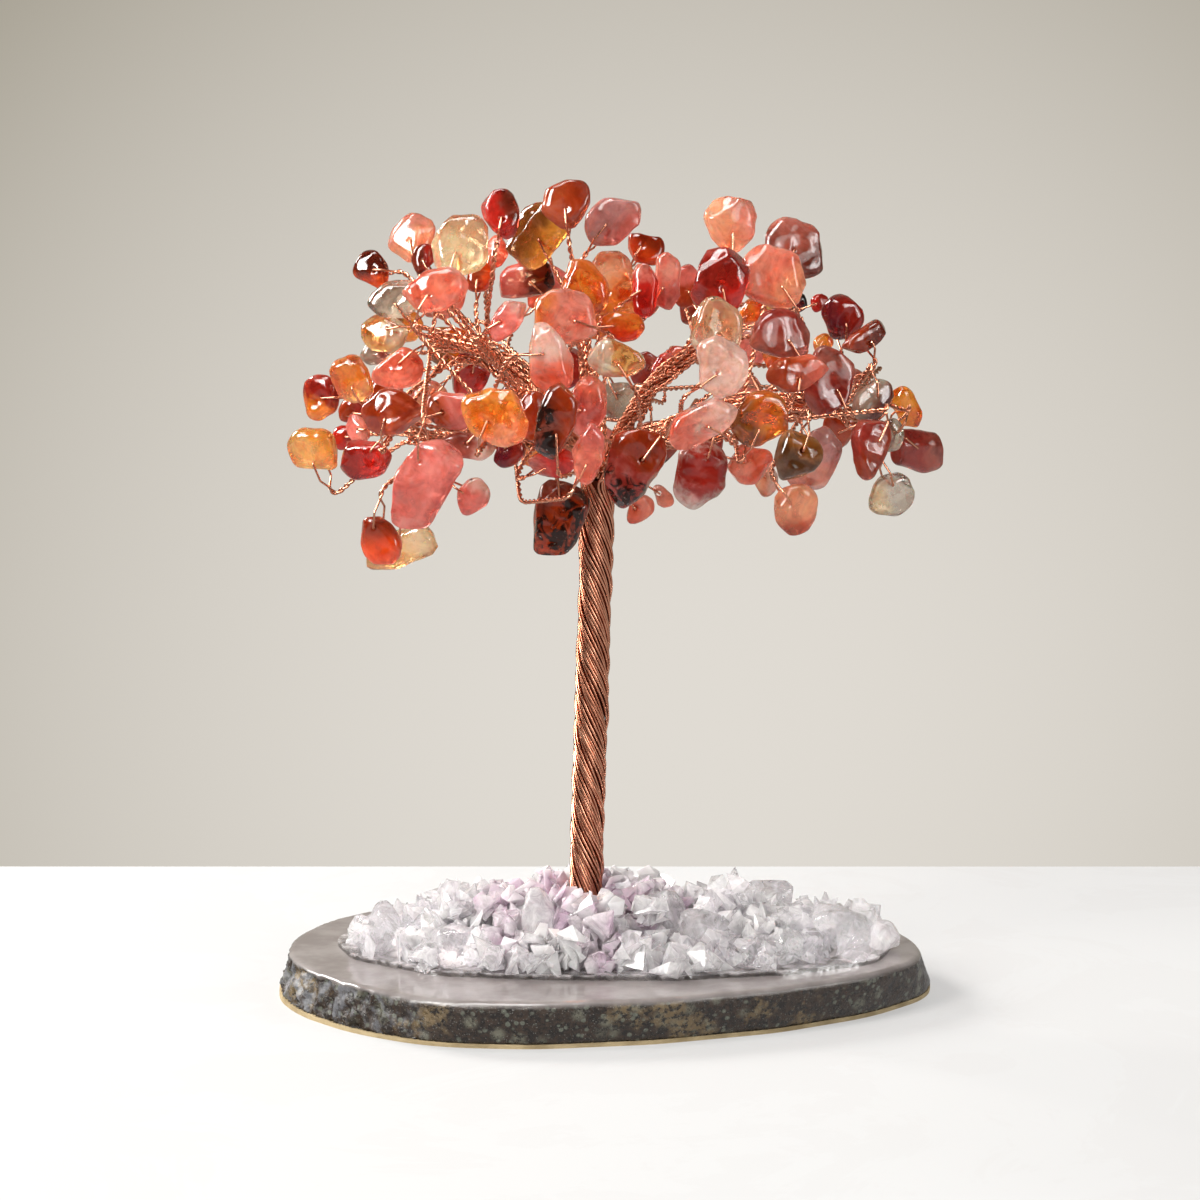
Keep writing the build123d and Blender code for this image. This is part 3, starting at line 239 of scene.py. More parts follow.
TINTS = {
    "peach": srgb(242, 174, 134),
    "blush": srgb(232, 156, 136),
    "milk": srgb(240, 208, 194),
    "coral": srgb(232, 120, 90),
    "salmon": srgb(241, 150, 124),
    "rose": srgb(217, 118, 106),
    "pink": srgb(235, 137, 125),
    "blood": srgb(164, 40, 28),
    "cherry": srgb(208, 48, 36),
    "fire": srgb(228, 84, 26),
    "amber": srgb(232, 134, 46),
    "glow": srgb(252, 170, 66),
    "honey": srgb(240, 182, 106),
    "straw": srgb(248, 222, 180),
    "sand": srgb(226, 180, 138),
    "bark": srgb(150, 88, 32),
    "brown": srgb(116, 42, 24),
    "rust": srgb(162, 56, 18),
    "clay": srgb(182, 78, 38),
    "mauve": srgb(182, 98, 82),
    "wine": srgb(164, 58, 46),
    "plum": srgb(124, 34, 46),
    "lilac": srgb(204, 142, 136),
    "smoke": srgb(178, 156, 138),
    "ice": srgb(232, 220, 200),
    "olive": srgb(92, 54, 24),
    "char": srgb(22, 14, 11),
    "bone": srgb(214, 202, 190),
}

# Each stone that the photograph shows: where, its body tint and its second tint, the way to the
# second tint in degrees, the share where it starts, and how much char, banding and painted pale
# glow at its edges it has
STONE_TINTS = {
    "coral": (
        (413, 236, "peach", "blush", 120, 0.1, 0, 0.2, 0.1),
        (495, 252, "salmon", "coral", 0, 0.2, 0, 0, 0),
        (435, 291, "salmon", "coral", 190, 0, 0, 0.2, 0.5),
        (397, 370, "coral", "salmon", 250, 0, 0, 0, 0.1),
        (563, 318, "blush", "amber", 170, 0.35, 0, 0.2, 0.3),
        (549, 354, "milk", "coral", 275, 0, 0, 0.15, 0.1),
        (509, 319, "pink", "milk", 60, 0.3, 0, 0, 0.1),
        (731, 226, "blush", "peach", 200, -0.2, 0, 0.4, 0.3),
        (774, 277, "salmon", "peach", 320, 0.2, 0, 0.3, 0.2),
        (722, 370, "blush", "rust", 170, 0.3, 0, 0.1, 0.1),
        (678, 358, "coral", "rose", 0, 0, 0, 0, 0),
        (358, 429, "pink", "blush", 0, 0, 0, 0, 0),
        (590, 404, "rose", "salmon", 60, 0.2, 0, 0.3, 0.1),
        (588, 455, "salmon", "pink", 90, 0.2, 0, 0, 0.1),
        (639, 510, "coral", "salmon", 0, 0, 0, 0, 0),
        (662, 495, "blush", "salmon", 0, 0.2, 0, 0, 0),
        (711, 396, "milk", "coral", 215, 0.35, 0, 0.3, 0.2),
        (744, 461, "salmon", "coral", 0, 0, 0, 0, 0),
        (766, 480, "peach", "milk", 0, 0.2, 0, 0, 0.2),
    ),
    "red": (
        (503, 216, "cherry", "brown", 20, 0.1, 0, 0, 0.1),
        (377, 274, "brown", "fire", 270, 0.1, 0, 0, 0),
        (320, 401, "blood", "amber", 250, 0.2, 0, 0, 0.1),
        (646, 290, "cherry", "blush", 90, 0.5, 0, 0, 0),
        (719, 280, "blood", "cherry", 300, 0.2, 0, 0, 0.1),
        (843, 316, "blood", "plum", 200, 0, 0, 0, 0),
        (819, 303, "cherry", "blood", 0, 0, 0, 0, 0),
        (795, 304, "plum", "char", 0, 0.4, 0, 0, 0),
        (664, 368, "cherry", "pink", 0, 0, 0, 0, 0),
        (345, 437, "cherry", "blood", 0, 0, 0, 0, 0),
        (549, 464, "cherry", "lilac", 215, 0.35, 0, 0, 0.1),
    ),
    "amber": (
        (538, 234, "bark", "glow", 320, 0.1, 0, 0.1, 0.1),
        (354, 379, "amber", "honey", 300, 0.2, 0, 0.1, 0.2),
        (584, 288, "amber", "rust", 250, 0.2, 0, 0.2, 0.1),
        (614, 281, "peach", "amber", 300, -0.1, 0, 0.3, 0),
        (622, 326, "amber", "fire", 270, 0.1, 0, 0.1, 0),
        (823, 344, "glow", "amber", 0, 0, 0, 0, 0),
        (751, 314, "amber", "fire", 0, 0, 0, 0, 0),
        (494, 414, "glow", "peach", 300, 0.1, 0, 0.3, 0.1),
        (763, 421, "amber", "bark", 200, 0.1, 0, 0, 0.1),
        (906, 408, "glow", "amber", 300, 0.2, 0, 0, 0),
    ),
    "rust": (
        (567, 204, "clay", "rust", 0, 0, 0, 0, 0.1),
        (480, 277, "rust", "fire", 0, 0, 0, 0, 0),
        (644, 247, "fire", "rust", 60, 0.1, 0, 0, 0),
        (686, 287, "clay", "rose", 90, 0.1, 0, 0, 0),
        (864, 342, "rust", "brown", 0, 0, 0, 0.2, 0.1),
        (796, 374, "clay", "coral", 0, 0.2, 0, 0, 0.1),
        (395, 413, "rust", "clay", 290, 0.1, 0.1, 0.1, 0.1),
        (352, 411, "rust", "wine", 0, 0, 0, 0, 0),
        (534, 417, "clay", "rust", 90, 0, 0, 0.1, 0),
        (866, 450, "wine", "rust", 300, 0, 0, 0.1, 0.1),
    ),
    "mauve": (
        (374, 352, "smoke", "mauve", 0, 0.2, 0, 0, 0),
        (613, 226, "lilac", "rose", 300, 0.1, 0, 0.3, 0.2),
        (668, 282, "blush", "rose", 280, 0.1, 0, 0.4, 0),
        (796, 247, "mauve", "brown", 300, 0.1, 0, 0.3, 0.1),
        (781, 335, "mauve", "wine", 90, 0.1, 0, 0.2, 0.1),
        (835, 380, "wine", "mauve", 90, 0.1, 0, 0.4, 0.1),
        (466, 444, "mauve", "milk", 0, 0.3, 0, 0.3, 0.1),
        (509, 453, "plum", "wine", 0, 0, 0, 0, 0),
        (820, 464, "blush", "lilac", 60, 0, 0, 0.5, 0.2),
        (874, 404, "smoke", "brown", 320, 0, 0.1, 0.1, 0.1),
        (917, 450, "wine", "mauve", 0, 0.2, 0, 0.1, 0.1),
    ),
    "clear": (
        (462, 245, "straw", "sand", 60, 0.1, 0, 0.3, 0.4),
        (393, 298, "smoke", "ice", 300, 0.1, 0, 0.2, 0.5),
        (386, 333, "honey", "ice", 20, 0.2, 0, 0.1, 0.2),
        (716, 328, "sand", "ice", 260, 0.1, 0, 0.2, 0.3),
        (613, 361, "honey", "ice", 180, 0.1, 0, 0.3, 0.2),
        (892, 436, "smoke", "ice", 0, 0.2, 0, 0, 0.2),
    ),
    "mottled": (
        (424, 258, "brown", "blood", 0, 0, 0.1, 0, 0),
        (527, 279, "rose", "brown", 0, -0.2, 0.5, 0, 0),
        (448, 413, "rose", "clay", 200, 0.1, 0.2, 0.3, 0.1),
        (558, 424, "rust", "brown", 185, -0.2, 0.9, 0.1, 0),
        (634, 470, "rust", "wine", 235, -0.05, 0.9, 0.1, 0),
        (795, 456, "olive", "bark", 60, 0.2, 0.2, 0, 0.1),
    ),
}

# The stones that swing, each by itself: its family, then tints and marks as above
SWING_TINTS = {
    "honey_drop_left": ("amber", "honey", "glow", 40, 0.1, 0, 0.2, 0.2),
    "cherry_drop_left": ("red", "cherry", "blood", 200, 0.1, 0, 0, 0.1),
    "rose_drop_left": ("coral", "rose", "pink", 100, 0.1, 0, 0.15, 0.4),
    "fire_drop_left": ("rust", "fire", "rust", 100, 0, 0.1, 0.1, 0.1),
    "sunlit_drop_left": ("clear", "honey", "straw", 30, 0.1, 0, 0.6, 0.1),
    "blush_drop_lone": ("coral", "pink", "milk", 60, 0.3, 0.25, 0.1, 0.1),
    "charred_drop_front": ("mottled", "brown", "rust", 300, -0.5, 0.9, 0.1, 0),
    "banded_drop_right": ("mottled", "blood", "lilac", 245, 0.5, 0, 0.1, 0.9),
    "peach_drop_right": ("coral", "peach", "clay", 270, 0.3, 0, 0.2, 0.1),
    "misty_drop_right": ("clear", "bone", "straw", 200, 0.2, 0.1, 0.3, 0.3),
}

# How clear each family is, as the least and the greatest share, how hazy, and its milk's depth
CLEARNESS = {
    "coral": ((0.42, 0.86), 0.10, 1.5),
    "red": ((0.40, 0.85), 0.06, 1.0),
    "amber": ((0.60, 0.95), 0.05, 1.4),
    "rust": ((0.25, 0.65), 0.10, 1.0),
    "mauve": ((0.30, 0.75), 0.10, 1.3),
    "clear": ((0.72, 0.97), 0.03, 2.0),
    "mottled": ((0.10, 0.45), 0.12, 1.0),
}


class Feed:
    """A socket of a finish's nodes, so that shader maths can be written as expressions."""

    def __init__(self, finish, socket):
        self.finish = finish
        self.socket = socket

    def done(self, operation, one, other, third=0.0):
        return self.finish.node("Math", {0: one, 1: other, 2: third}, operation=operation)

    def __add__(self, other):
        return self.done("ADD", self, other)

    def __sub__(self, other):
        return self.done("SUBTRACT", self, other)

    def __rsub__(self, other):
        return self.done("SUBTRACT", other, self)

    def __mul__(self, other):
        return self.done("MULTIPLY", self, other)

    def capped(self, top, softness):
        """The value, bent softly under a top."""
        return self.done("SMOOTH_MIN", self, top, softness)

    __radd__ = __add__
    __rmul__ = __mul__


class Finish:
    """A material, or the world, in the making."""

    def __init__(self, owner):
        self.owner = owner
        owner.use_nodes = True
        self.tree = owner.node_tree
        self.tree.nodes.clear()

    def node(self, kind, inputs=None, output=0, **settings):
        """One shader node: its kind, the values or links of its sockets, its output and settings."""
        made = self.tree.nodes.new("ShaderNode" + kind)
        for name, value in settings.items():
            setattr(made, name, value)
        for name, value in (inputs or {}).items():
            socket = made.inputs[name]
            if isinstance(value, Feed):
                self.tree.links.new(value.socket, socket)
            elif socket.type == "RGBA" and len(value) == 3:
                socket.default_value = (*value, 1.0)
            else:
                socket.default_value = value
        return Feed(self, made.outputs[output]) if made.outputs else None

    def outputs(self, kind, inputs=None):
        """Every output of a node, by its name."""
        made = self.node(kind, inputs).socket.node
        return {socket.name: Feed(self, socket) for socket in made.outputs}

    def place(self):
        """Where a point lies on the piece, in millimetres."""
        spot = self.node("TexCoord", output="Object")
        return self.node("VectorMath", {0: spot, "Scale": 1 / MM}, operation="SCALE")

    def cloud(self, spot, size, detail=3.0, roughness=0.55, warp=0.0):
        """Soft noise whose features are about so many millimetres wide."""
        inputs = {
            "Vector": spot,
            "Scale": 1 / size,
            "Detail": detail,
            "Roughness": roughness,
            "Distortion": warp,
        }
        return self.node("TexNoise", inputs)

    def cells(self, spot, size):
        """Cells about so many millimetres wide."""
        return self.node("TexVoronoi", {"Vector": spot, "Scale": 1 / size})

    def ease(self, value, low, high, start=0.0, end=1.0):
        """A smooth step from one value to another."""
        inputs = {"Value": value, "From Min": low, "From Max": high, "To Min": start, "To Max": end}
        return self.node("MapRange", inputs, interpolation_type="SMOOTHSTEP")

    def mix(self, factor, one, other, blend="MIX"):
        """Two colours mixed."""
        inputs = {0: factor, 6: one, 7: other}
        return self.node("Mix", inputs, 2, data_type="RGBA", blend_type=blend)

    def mark(self, name, output="Color"):
        """A value or colour kept on the piece's points."""
        return self.node("Attribute", None, output, attribute_name=name)

    def bump(self, height, strength, depth):
        """A bumpy surface from a height, its depth in millimetres."""
        inputs = {"Height": height, "Strength": strength, "Distance": depth * MM}
        return self.node("Bump", inputs)

    def surface(self, **sockets):
        """The shader itself."""
        inputs = {name.replace("_", " "): value for name, value in sockets.items()}
        return self.node("BsdfPrincipled", inputs)

    def transparent(self, colour):
        return self.node("BsdfTransparent", {"Color": colour})

    def shining(self, kind, colour, strength):
        """A shader of light: an emission or a background."""
        return self.node(kind, {"Color": colour, "Strength": strength})

    def blend(self, factor, one, other):
        """Two shaders mixed."""
        return self.node("MixShader", {0: factor, 1: one, 2: other})

    def lit_through(self, shader, colour):
        """A clear body that lets the light of the lamps through to what lies behind it."""
        path = self.node("LightPath", output="Is Shadow Ray")
        return self.blend(path, shader, self.transparent(colour))

    def finished(self, shader, kind="OutputMaterial"):
        self.node(kind, {"Surface": shader})
        return self.owner


def new_finish(name):
    return Finish(bpy.data.materials.new(name))


def copper(name, base, dark, roughness):
    """Bare copper wire with faint tarnish."""
    kit = new_finish(name)
    spot = kit.place()
    tarnish = kit.ease(kit.cloud(spot, 3.5, 2.0, 0.5), 0.40, 0.68)
    scuffs = kit.cloud(spot, 1.2, 2.0)
    shader = kit.surface(
        Base_Color=kit.mix(tarnish * 0.6, base, dark),
        Metallic=1.0,
        Roughness=tarnish * 0.12 + scuffs * 0.08 + (roughness - 0.04),
    )
    return kit.finished(shader)


def agate_colour(kit, spot, drift, fine):
    """A stone's colour, and where it is charred: tints, bands, clouds, a pale rim of painted glow, and
    char.
    """
    body, second = kit.mark("body_tint"), kit.mark("second_tint")
    marks = kit.outputs("SeparateXYZ", {0: kit.mark("marks", "Vector")})
    char, bands, rim = marks["X"], marks["Y"], marks["Z"]
    reach, edge = kit.mark("reach", "Fac"), kit.mark("edge", "Fac")
    share = kit.ease(reach + (drift - 0.5) * 1.5, -0.22, 0.36)
    colour = kit.mix(share, body, second)

    # Agate bands wander with the clouds
    waves = {"Vector": spot, "Scale": 0.16, "Distortion": 9.0, "Detail": 3.0, "Detail Scale": 0.5}
    lines = kit.node("TexWave", waves, bands_direction="DIAGONAL")
    pale = kit.mix(0.3, colour, TINTS["milk"])
    colour = kit.mix(kit.ease(lines, 0.60, 0.98) * bands * 0.9, colour, pale)
    deep = kit.mix(1.0, colour, (0.58, 0.38, 0.30), "MULTIPLY")
    colour = kit.mix(kit.ease(fine, 0.48, 0.70) * 0.6, colour, deep)
    milky = kit.mix(0.2, colour, TINTS["milk"])
    colour = kit.mix(kit.ease(drift, 0.54, 0.78) * 0.5, colour, milky)
    # A pale glow is painted round each stone's rim, as light that shines through its edges
    edge_glow = kit.mix(0.62, colour, TINTS["bone"])
    colour = kit.mix(kit.ease(edge + (fine - 0.5) * 0.9, 0.62, 0.98) * rim, colour, edge_glow)

    # Char sits in patches on the side of the second tint
    patches = kit.cloud(spot, 2.6, 5.0, 0.65, 1.0)
    side = kit.ease(reach, -0.1, 0.5)
    charred = kit.ease(patches + char * side * 0.17, 0.55, 0.69) * kit.ease(char * side, 0.02, 0.2)
    colour = kit.mix(charred * 0.96, colour, TINTS["char"])
    grey = kit.ease(kit.cloud(spot, 0.9, 4.0, 0.7), 0.60, 0.74) * charred
    return kit.mix(grey * 0.5, colour, TINTS["bone"]), charred


def gemstone(name, glass, haze, milk_depth):
    """Tumbled, polished agate over a clear or milky body."""
    kit = new_finish(name)
    spot = kit.place()
    drift = kit.cloud(spot, 5.0, 3.0, 0.6, 0.6)
    fine = kit.cloud(spot, 1.7, 4.0, 0.6, 0.8)
    colour, charred = agate_colour(kit, spot, drift, fine)
    normal = kit.bump(kit.cloud(spot, 2.8, 2.0), 0.3, 0.12)
    opaque = kit.surface(
        Base_Color=colour,
        Roughness=0.03 + fine * 0.04,
        IOR=1.54,
        Specular_IOR_Level=0.4,
        Subsurface_Weight=0.8,
        Subsurface_Radius=(1.0, 0.36, 0.24),
        Subsurface_Scale=milk_depth * MM,
        Normal=normal,
    )
    clear = kit.surface(
        Base_Color=colour,
        Roughness=haze + fine * 0.04,
        IOR=1.5,
        Transmission_Weight=1.0,
        Coat_Weight=0.6,
        Coat_Roughness=0.02,
        Normal=normal,
    )
    low, high = glass
    factor = kit.ease(drift * 0.7 + fine * 0.3, 0.36, 0.62, high, low) * (1 - charred)
    return kit.finished(kit.blend(factor, opaque, kit.lit_through(clear, colour)))


def quartz(name, white, tint):
    """Crushed quartz: each chip clear or milky in its own measure."""
    kit = new_finish(name)
    spot = kit.place()
    milk = kit.mark("milk", "Fac")
    veil = kit.cloud(spot, 2.4, 4.0, 0.65, 1.2)
    colour = kit.mix(kit.ease(kit.cloud(spot, 6.0, 1.0), 0.42, 0.62), white, tint)
    normal = kit.bump(kit.cloud(spot, 1.1, 3.0, 0.55), 0.6, 0.15)
    milky = kit.surface(
        Base_Color=colour,
        Roughness=0.05,
        IOR=1.54,
        Subsurface_Weight=0.9,
        Subsurface_Radius=(1.0, 0.95, 0.95),
        Subsurface_Scale=5.0 * MM,
        Normal=normal,
    )
    clear = kit.surface(
        Base_Color=kit.mix(0.7, colour, (1.0, 1.0, 1.0)),
        Roughness=0.01 + veil * 0.03,
        IOR=1.34,
        Transmission_Weight=1.0,
        Normal=normal,
    )
    straight = kit.transparent((0.97, 0.97, 0.98))
    clear = kit.blend(0.2, kit.lit_through(clear, (0.97, 0.97, 0.98)), straight)
    factor = kit.ease(milk + (veil - 0.5), 0.0, 1.0, 0.08, 0.8)
    return kit.finished(kit.blend(factor, clear, milky))


def resin_film():
    """Clear set resin: a wet film at its rim, clouded under the heap."""
    kit = new_finish("set_resin")
    spot = kit.place()
    height = kit.outputs("SeparateXYZ", {0: spot})["Z"]
    ripple = kit.cloud(spot, 1.8, 3.0, 0.6)
    normal = kit.bump(ripple, 0.8, 0.35)
    veil = kit.ease(kit.cloud(spot, 2.0, 4.0, 0.7), 0.45, 0.75)
    milky = kit.surface(
        Base_Color=kit.mix(veil, srgb(214, 208, 209), srgb(244, 239, 241)),
        Roughness=0.10,
        Subsurface_Weight=0.6,
        Subsurface_Radius=(1.0, 0.95, 0.95),
        Subsurface_Scale=2.0 * MM,
        Normal=normal,
    )
    film = kit.node("BsdfGlossy", {"Color": (1.0, 1.0, 1.0), "Roughness": 0.05, "Normal": normal})
    wet = kit.blend(kit.ease(ripple, 0.40, 0.60, 0.10, 0.40), kit.transparent((0.98, 0.98, 0.98)), film)
    return kit.finished(kit.blend(kit.ease(height + ripple * 2.0, 10.3, 11.9), wet, milky))


def slab_stone():
    """The slice: polished grey-brown top, speckled dark rim, and painted grey-blue highlights on its
    broken end.
    """
    kit = new_finish("speckled_slice")
    spot = kit.place()
    rim, broken = kit.mark("rim", "Fac"), kit.mark("broken", "Fac")
    broad, fine = kit.cloud(spot, 9.0, 4.0, 0.6), kit.cloud(spot, 1.2, 5.0, 0.7)
    top = kit.mix(kit.ease(broad, 0.35, 0.65), srgb(125, 118, 116), srgb(147, 141, 139))
    ground = kit.mix(kit.ease(fine, 0.40, 0.62), srgb(27, 17, 11), srgb(58, 42, 30))
    # Grains and blooms of three sizes, each ragged at its border
    ragged = (fine - 0.5) * 0.5
    grains = kit.ease(kit.cells(spot, 1.5) + ragged, 0.24, 0.36, 1.0, 0.0)
    some = kit.ease(kit.cloud(spot, 4.0, 2.0), 0.44, 0.56)
    ground = kit.mix(grains * some * 0.8, ground, srgb(108, 112, 100))
    blooms = kit.ease(kit.cells(spot, 4.6) + ragged * 1.2, 0.16, 0.40, 1.0, 0.0)
    ground = kit.mix(blooms * kit.ease(fine, 0.35, 0.60) * 0.75, ground, srgb(126, 126, 110))
    ochre = kit.ease(kit.cloud(spot, 13.0, 4.0, 0.65), 0.57, 0.66) * kit.ease(fine, 0.40, 0.55)
    ground = kit.mix(ochre * 0.7, ground, srgb(132, 112, 78))
    flecks = kit.ease(kit.cells(spot, 0.55), 0.10, 0.22, 1.0, 0.0)
    ground = kit.mix(flecks * 0.45, ground, srgb(176, 176, 168))
    colour = kit.mix(rim, top, ground)
    # The broken end is glossy, with grey-blue highlights painted on its facets
    painted_glints = kit.ease(kit.cloud(spot, 3.0, 4.0, 0.6), 0.46, 0.60) * broken
    height = kit.cloud(spot, 0.8, 5.0, 0.7)
    shader = kit.surface(
        Base_Color=kit.mix(painted_glints * 0.6, colour, srgb(132, 134, 140)),
        Roughness=0.06 + rim * (fine * 0.3 + 0.08) * (1 - broken * 0.7),
        IOR=1.6,
        Normal=kit.bump(height * rim, 0.9, 0.35),
    )
    return kit.finished(shader)


def cream_backing():
    """The foam sheet under the slice."""
    kit = new_finish("cream_foam")
    spot = kit.place()
    pores = kit.cells(spot, 0.35)
    stain = kit.ease(kit.cloud(spot, 6.0, 3.0), 0.35, 0.7)
    shader = kit.surface(
        Base_Color=kit.mix(stain, srgb(190, 170, 132), srgb(160, 140, 104)),
        Roughness=0.65 + pores * 0.2,
        Normal=kit.bump(pores, 0.5, 0.1),
    )
    return kit.finished(shader)


def put_finish(piece, material):
    piece.data.materials.clear()
    piece.data.materials.append(material)


def put_in_scene(name, data):
    """An object of some data, in the scene."""
    made = bpy.data.objects.new(name, data)
    bpy.context.scene.collection.objects.link(made)
    return made


def shade(mesh, smooth=True):
    mesh.polygons.foreach_set("use_smooth", [smooth] * len(mesh.polygons))


def opened(mesh):
    """A bmesh of a mesh."""
    bm = bmesh.new()
    bm.from_mesh(mesh)
    return bm


def bmesh_of(node):
    """A merged copy of a CAD node's mesh."""
    bm = opened(frame["nodes"][node].data)
    bmesh.ops.remove_doubles(bm, verts=bm.verts, dist=WELD * MM)
    return bm


def mesh_of(bm, name):
    """A mesh made of a bmesh, which is freed."""
    mesh = bpy.data.meshes.new(name)
    bm.to_mesh(mesh)
    bm.free()
    return mesh


def piece_of(bm, name, smooth=True):
    """An object made of a bmesh."""
    piece = put_in_scene(name, mesh_of(bm, name))
    shade(piece.data, smooth)
    return piece


def put_back(bm, piece):
    """Give a piece its changed bmesh, which is freed."""
    bm.to_mesh(piece.data)
    bm.free()
    shade(piece.data)


def settle(piece, node, material):
    """The piece stands for a CAD node, in its finish, and moves with its body."""
    put_finish(piece, material)
    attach(piece, frame["nodes"][node]["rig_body"])
    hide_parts(node)


def baked_mesh(piece):
    """The mesh of an object with all that shapes it."""
    return bpy.data.meshes.new_from_object(piece.evaluated_get(bpy.context.evaluated_depsgraph_get()))


def voxels(piece, grain):
    """Rebuild a piece's surface on an even grid."""
    remesh = piece.modifiers.new("even", "REMESH")
    remesh.mode = "VOXEL"
    remesh.voxel_size = grain * MM
    remesh.use_smooth_shade = True
    mesh = baked_mesh(piece)
    piece.modifiers.clear()
    old, piece.data = piece.data, mesh
    bpy.data.meshes.remove(old)


def softened(bm, rounds):
    """Smooth a bmesh a few times."""
    for _ in range(rounds):
        bmesh.ops.smooth_vert(
            bm, verts=bm.verts, factor=0.5, use_axis_x=True, use_axis_y=True, use_axis_z=True
        )


def points_of(mesh):
    """The places of a mesh's vertices."""
    places = np.empty(len(mesh.vertices) * 3, np.float32)
    mesh.vertices.foreach_get("co", places)
    return places.reshape(-1, 3).astype(float)


def corner_places(verts):
    return np.array([vert.co for vert in verts])


def put_corners(bm, places):
    for vert, place in zip(bm.verts, places):
        vert.co = place


def islands(mesh):
    """A number for each vertex that says which separate part it is in."""
    ends = np.empty(len(mesh.edges) * 2, np.int32)
    mesh.edges.foreach_get("vertices", ends)
    ends = ends.reshape(-1, 2)
    label = np.arange(len(mesh.vertices))
    while True:
        low = label[ends].min(axis=1)
        fresh = label.copy()
        np.minimum.at(fresh, ends[:, 0], low)
        np.minimum.at(fresh, ends[:, 1], low)
        fresh = fresh[fresh]
        if (fresh == label).all():
            return np.unique(label, return_inverse=True)[1]
        label = fresh


def each_own(part):
    """Which points are each part's own."""
    return [part == number for number in range(part.max() + 1)]


def store(mesh, name, values):
    """Keep numbers, vectors or colours on a mesh's points."""
    kinds = {1: ("FLOAT", "value"), 3: ("FLOAT_VECTOR", "vector"), 4: ("FLOAT_COLOR", "color")}
    kind, field = kinds[values[0].size]
    layer = mesh.attributes.new(name, kind, "POINT")
    layer.data.foreach_set(field, values.astype(np.float32).ravel())


def share_of(value, start, reach):
    """How far a value is along a reach, from 0 to 1."""
    return min(max((value - start) / reach, 0.0), 1.0)


def photo_place(point):
    """The pixel of the photograph that shows a point."""
    offset = Vector(point) - CAMERA_PLACE
    ahead = Vector((0, math.cos(CAMERA_TILT), -math.sin(CAMERA_TILT)))
    above = Vector((0, math.sin(CAMERA_TILT), math.cos(CAMERA_TILT)))
    scale = LENS / SENSOR * PHOTO_SIDE / offset.dot(ahead)
    half = PHOTO_SIDE / 2
    return np.array((half + offset.x * scale, half - offset.dot(above) * scale))


def chosen_tints(node, middles):
    """The row of tints for each stone of a node, by where the photograph shows it."""
    if node in SWING_TINTS:
        return [SWING_TINTS[node][1:]]
    rows = STONE_TINTS[family_of(node)]
    dice = random.Random(node)
    picked = [None] * len(middles)
    pairs = []
    for stone, middle in enumerate(middles):
        spot = photo_place(middle)
        for number, row in enumerate(rows):
            # The photograph shows the foremost of two stones in one place
            gap = np.linalg.norm(spot - np.array(row[:2])) + middle[1] / MM * MATCH_DEPTH
            pairs.append((gap, stone, number))
    taken = set()
    for gap, stone, number in sorted(pairs):
        if gap < MATCH_LIMIT and picked[stone] is None and number not in taken:
            picked[stone] = rows[number][2:]
            taken.add(number)
    spare = [row[2:] for row in rows]
    return [tints or dice.choice(spare) for tints in picked]


def family_of(node):
    """The colour family of a node of stones, or nothing for another node."""
    if "_stones_" in node:
        return node.split("_stones_")[0]
    return SWING_TINTS[node][0] if node in SWING_TINTS else None


def fitted(points, original, growth):
    """Points scaled along a stone's own axes, so that it is about as large as it was."""
    middle = original.mean(axis=0)
    _, ways = np.linalg.eigh(np.cov((original - middle).T))
    was, now = (original - middle) @ ways, (points - middle) @ ways
    return middle + (now * growth * np.ptp(was, axis=0) / np.ptp(now, axis=0)) @ ways.T


def faceted(points, dice):
    """Points pressed flat along some planes near a stone's surface, as tumbling leaves old breaks."""
    middle = points.mean(axis=0)
    away = points - middle
    for _ in range(STONE_FACETS):
        way = np.array([dice.gauss(0, 1) for _ in range(3)])
        way /= np.linalg.norm(way)
        height = away @ way
        limit = height.max() * (1 - FACET_DEPTH * dice.uniform(*FACET_SPREAD))
        over = np.clip(height - limit, 0, None)
        away = away - way * over[:, None] * FACET_PRESS
    return middle + away


def dented(bm, low, high):
    """Dent and groove a surface, and keep it in its node's box and in the CAD model's."""
    bm.normal_update()
    spare = STONE_SPARE * MM
    for vert in bm.verts:
        spot = vert.co / (STONE_DENT_SIZE * MM)
        groove = abs(noise.noise(spot * GROOVE_SCALE + GROOVE_SHIFT))
        dent = DENT_SWELL * noise.noise(spot) + DENT_RISE - GROOVE_DEPTH * groove
        vert.co += vert.normal * dent * STONE_DENTS * MM
        vert.co = [
            min(max(value, least - spare, floor), most + spare, roof)
            for value, least, most, floor, roof in zip(vert.co, low, high, *cad_box)
        ]


def polished(node, name, growth):
    """A node's pieces rounded and dented, as one piece, and a number for each point's own part."""
    piece = piece_of(bmesh_of(node), name)
    voxels(piece, STONE_GRAIN)
    part, before = islands(piece.data), points_of(piece.data)
    dice = random.Random(node)
    pressed = before.copy()
    for own in each_own(part):
        pressed[own] = faceted(before[own], dice)
    bm = opened(piece.data)
    put_corners(bm, pressed)
    softened(bm, STONE_SMOOTHING)
    after = corner_places(bm.verts)
    for own in each_own(part):
        after[own] = fitted(after[own], before[own], growth)
    put_corners(bm, after)
    dented(bm, *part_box(node))
    put_back(bm, piece)
    return piece, part


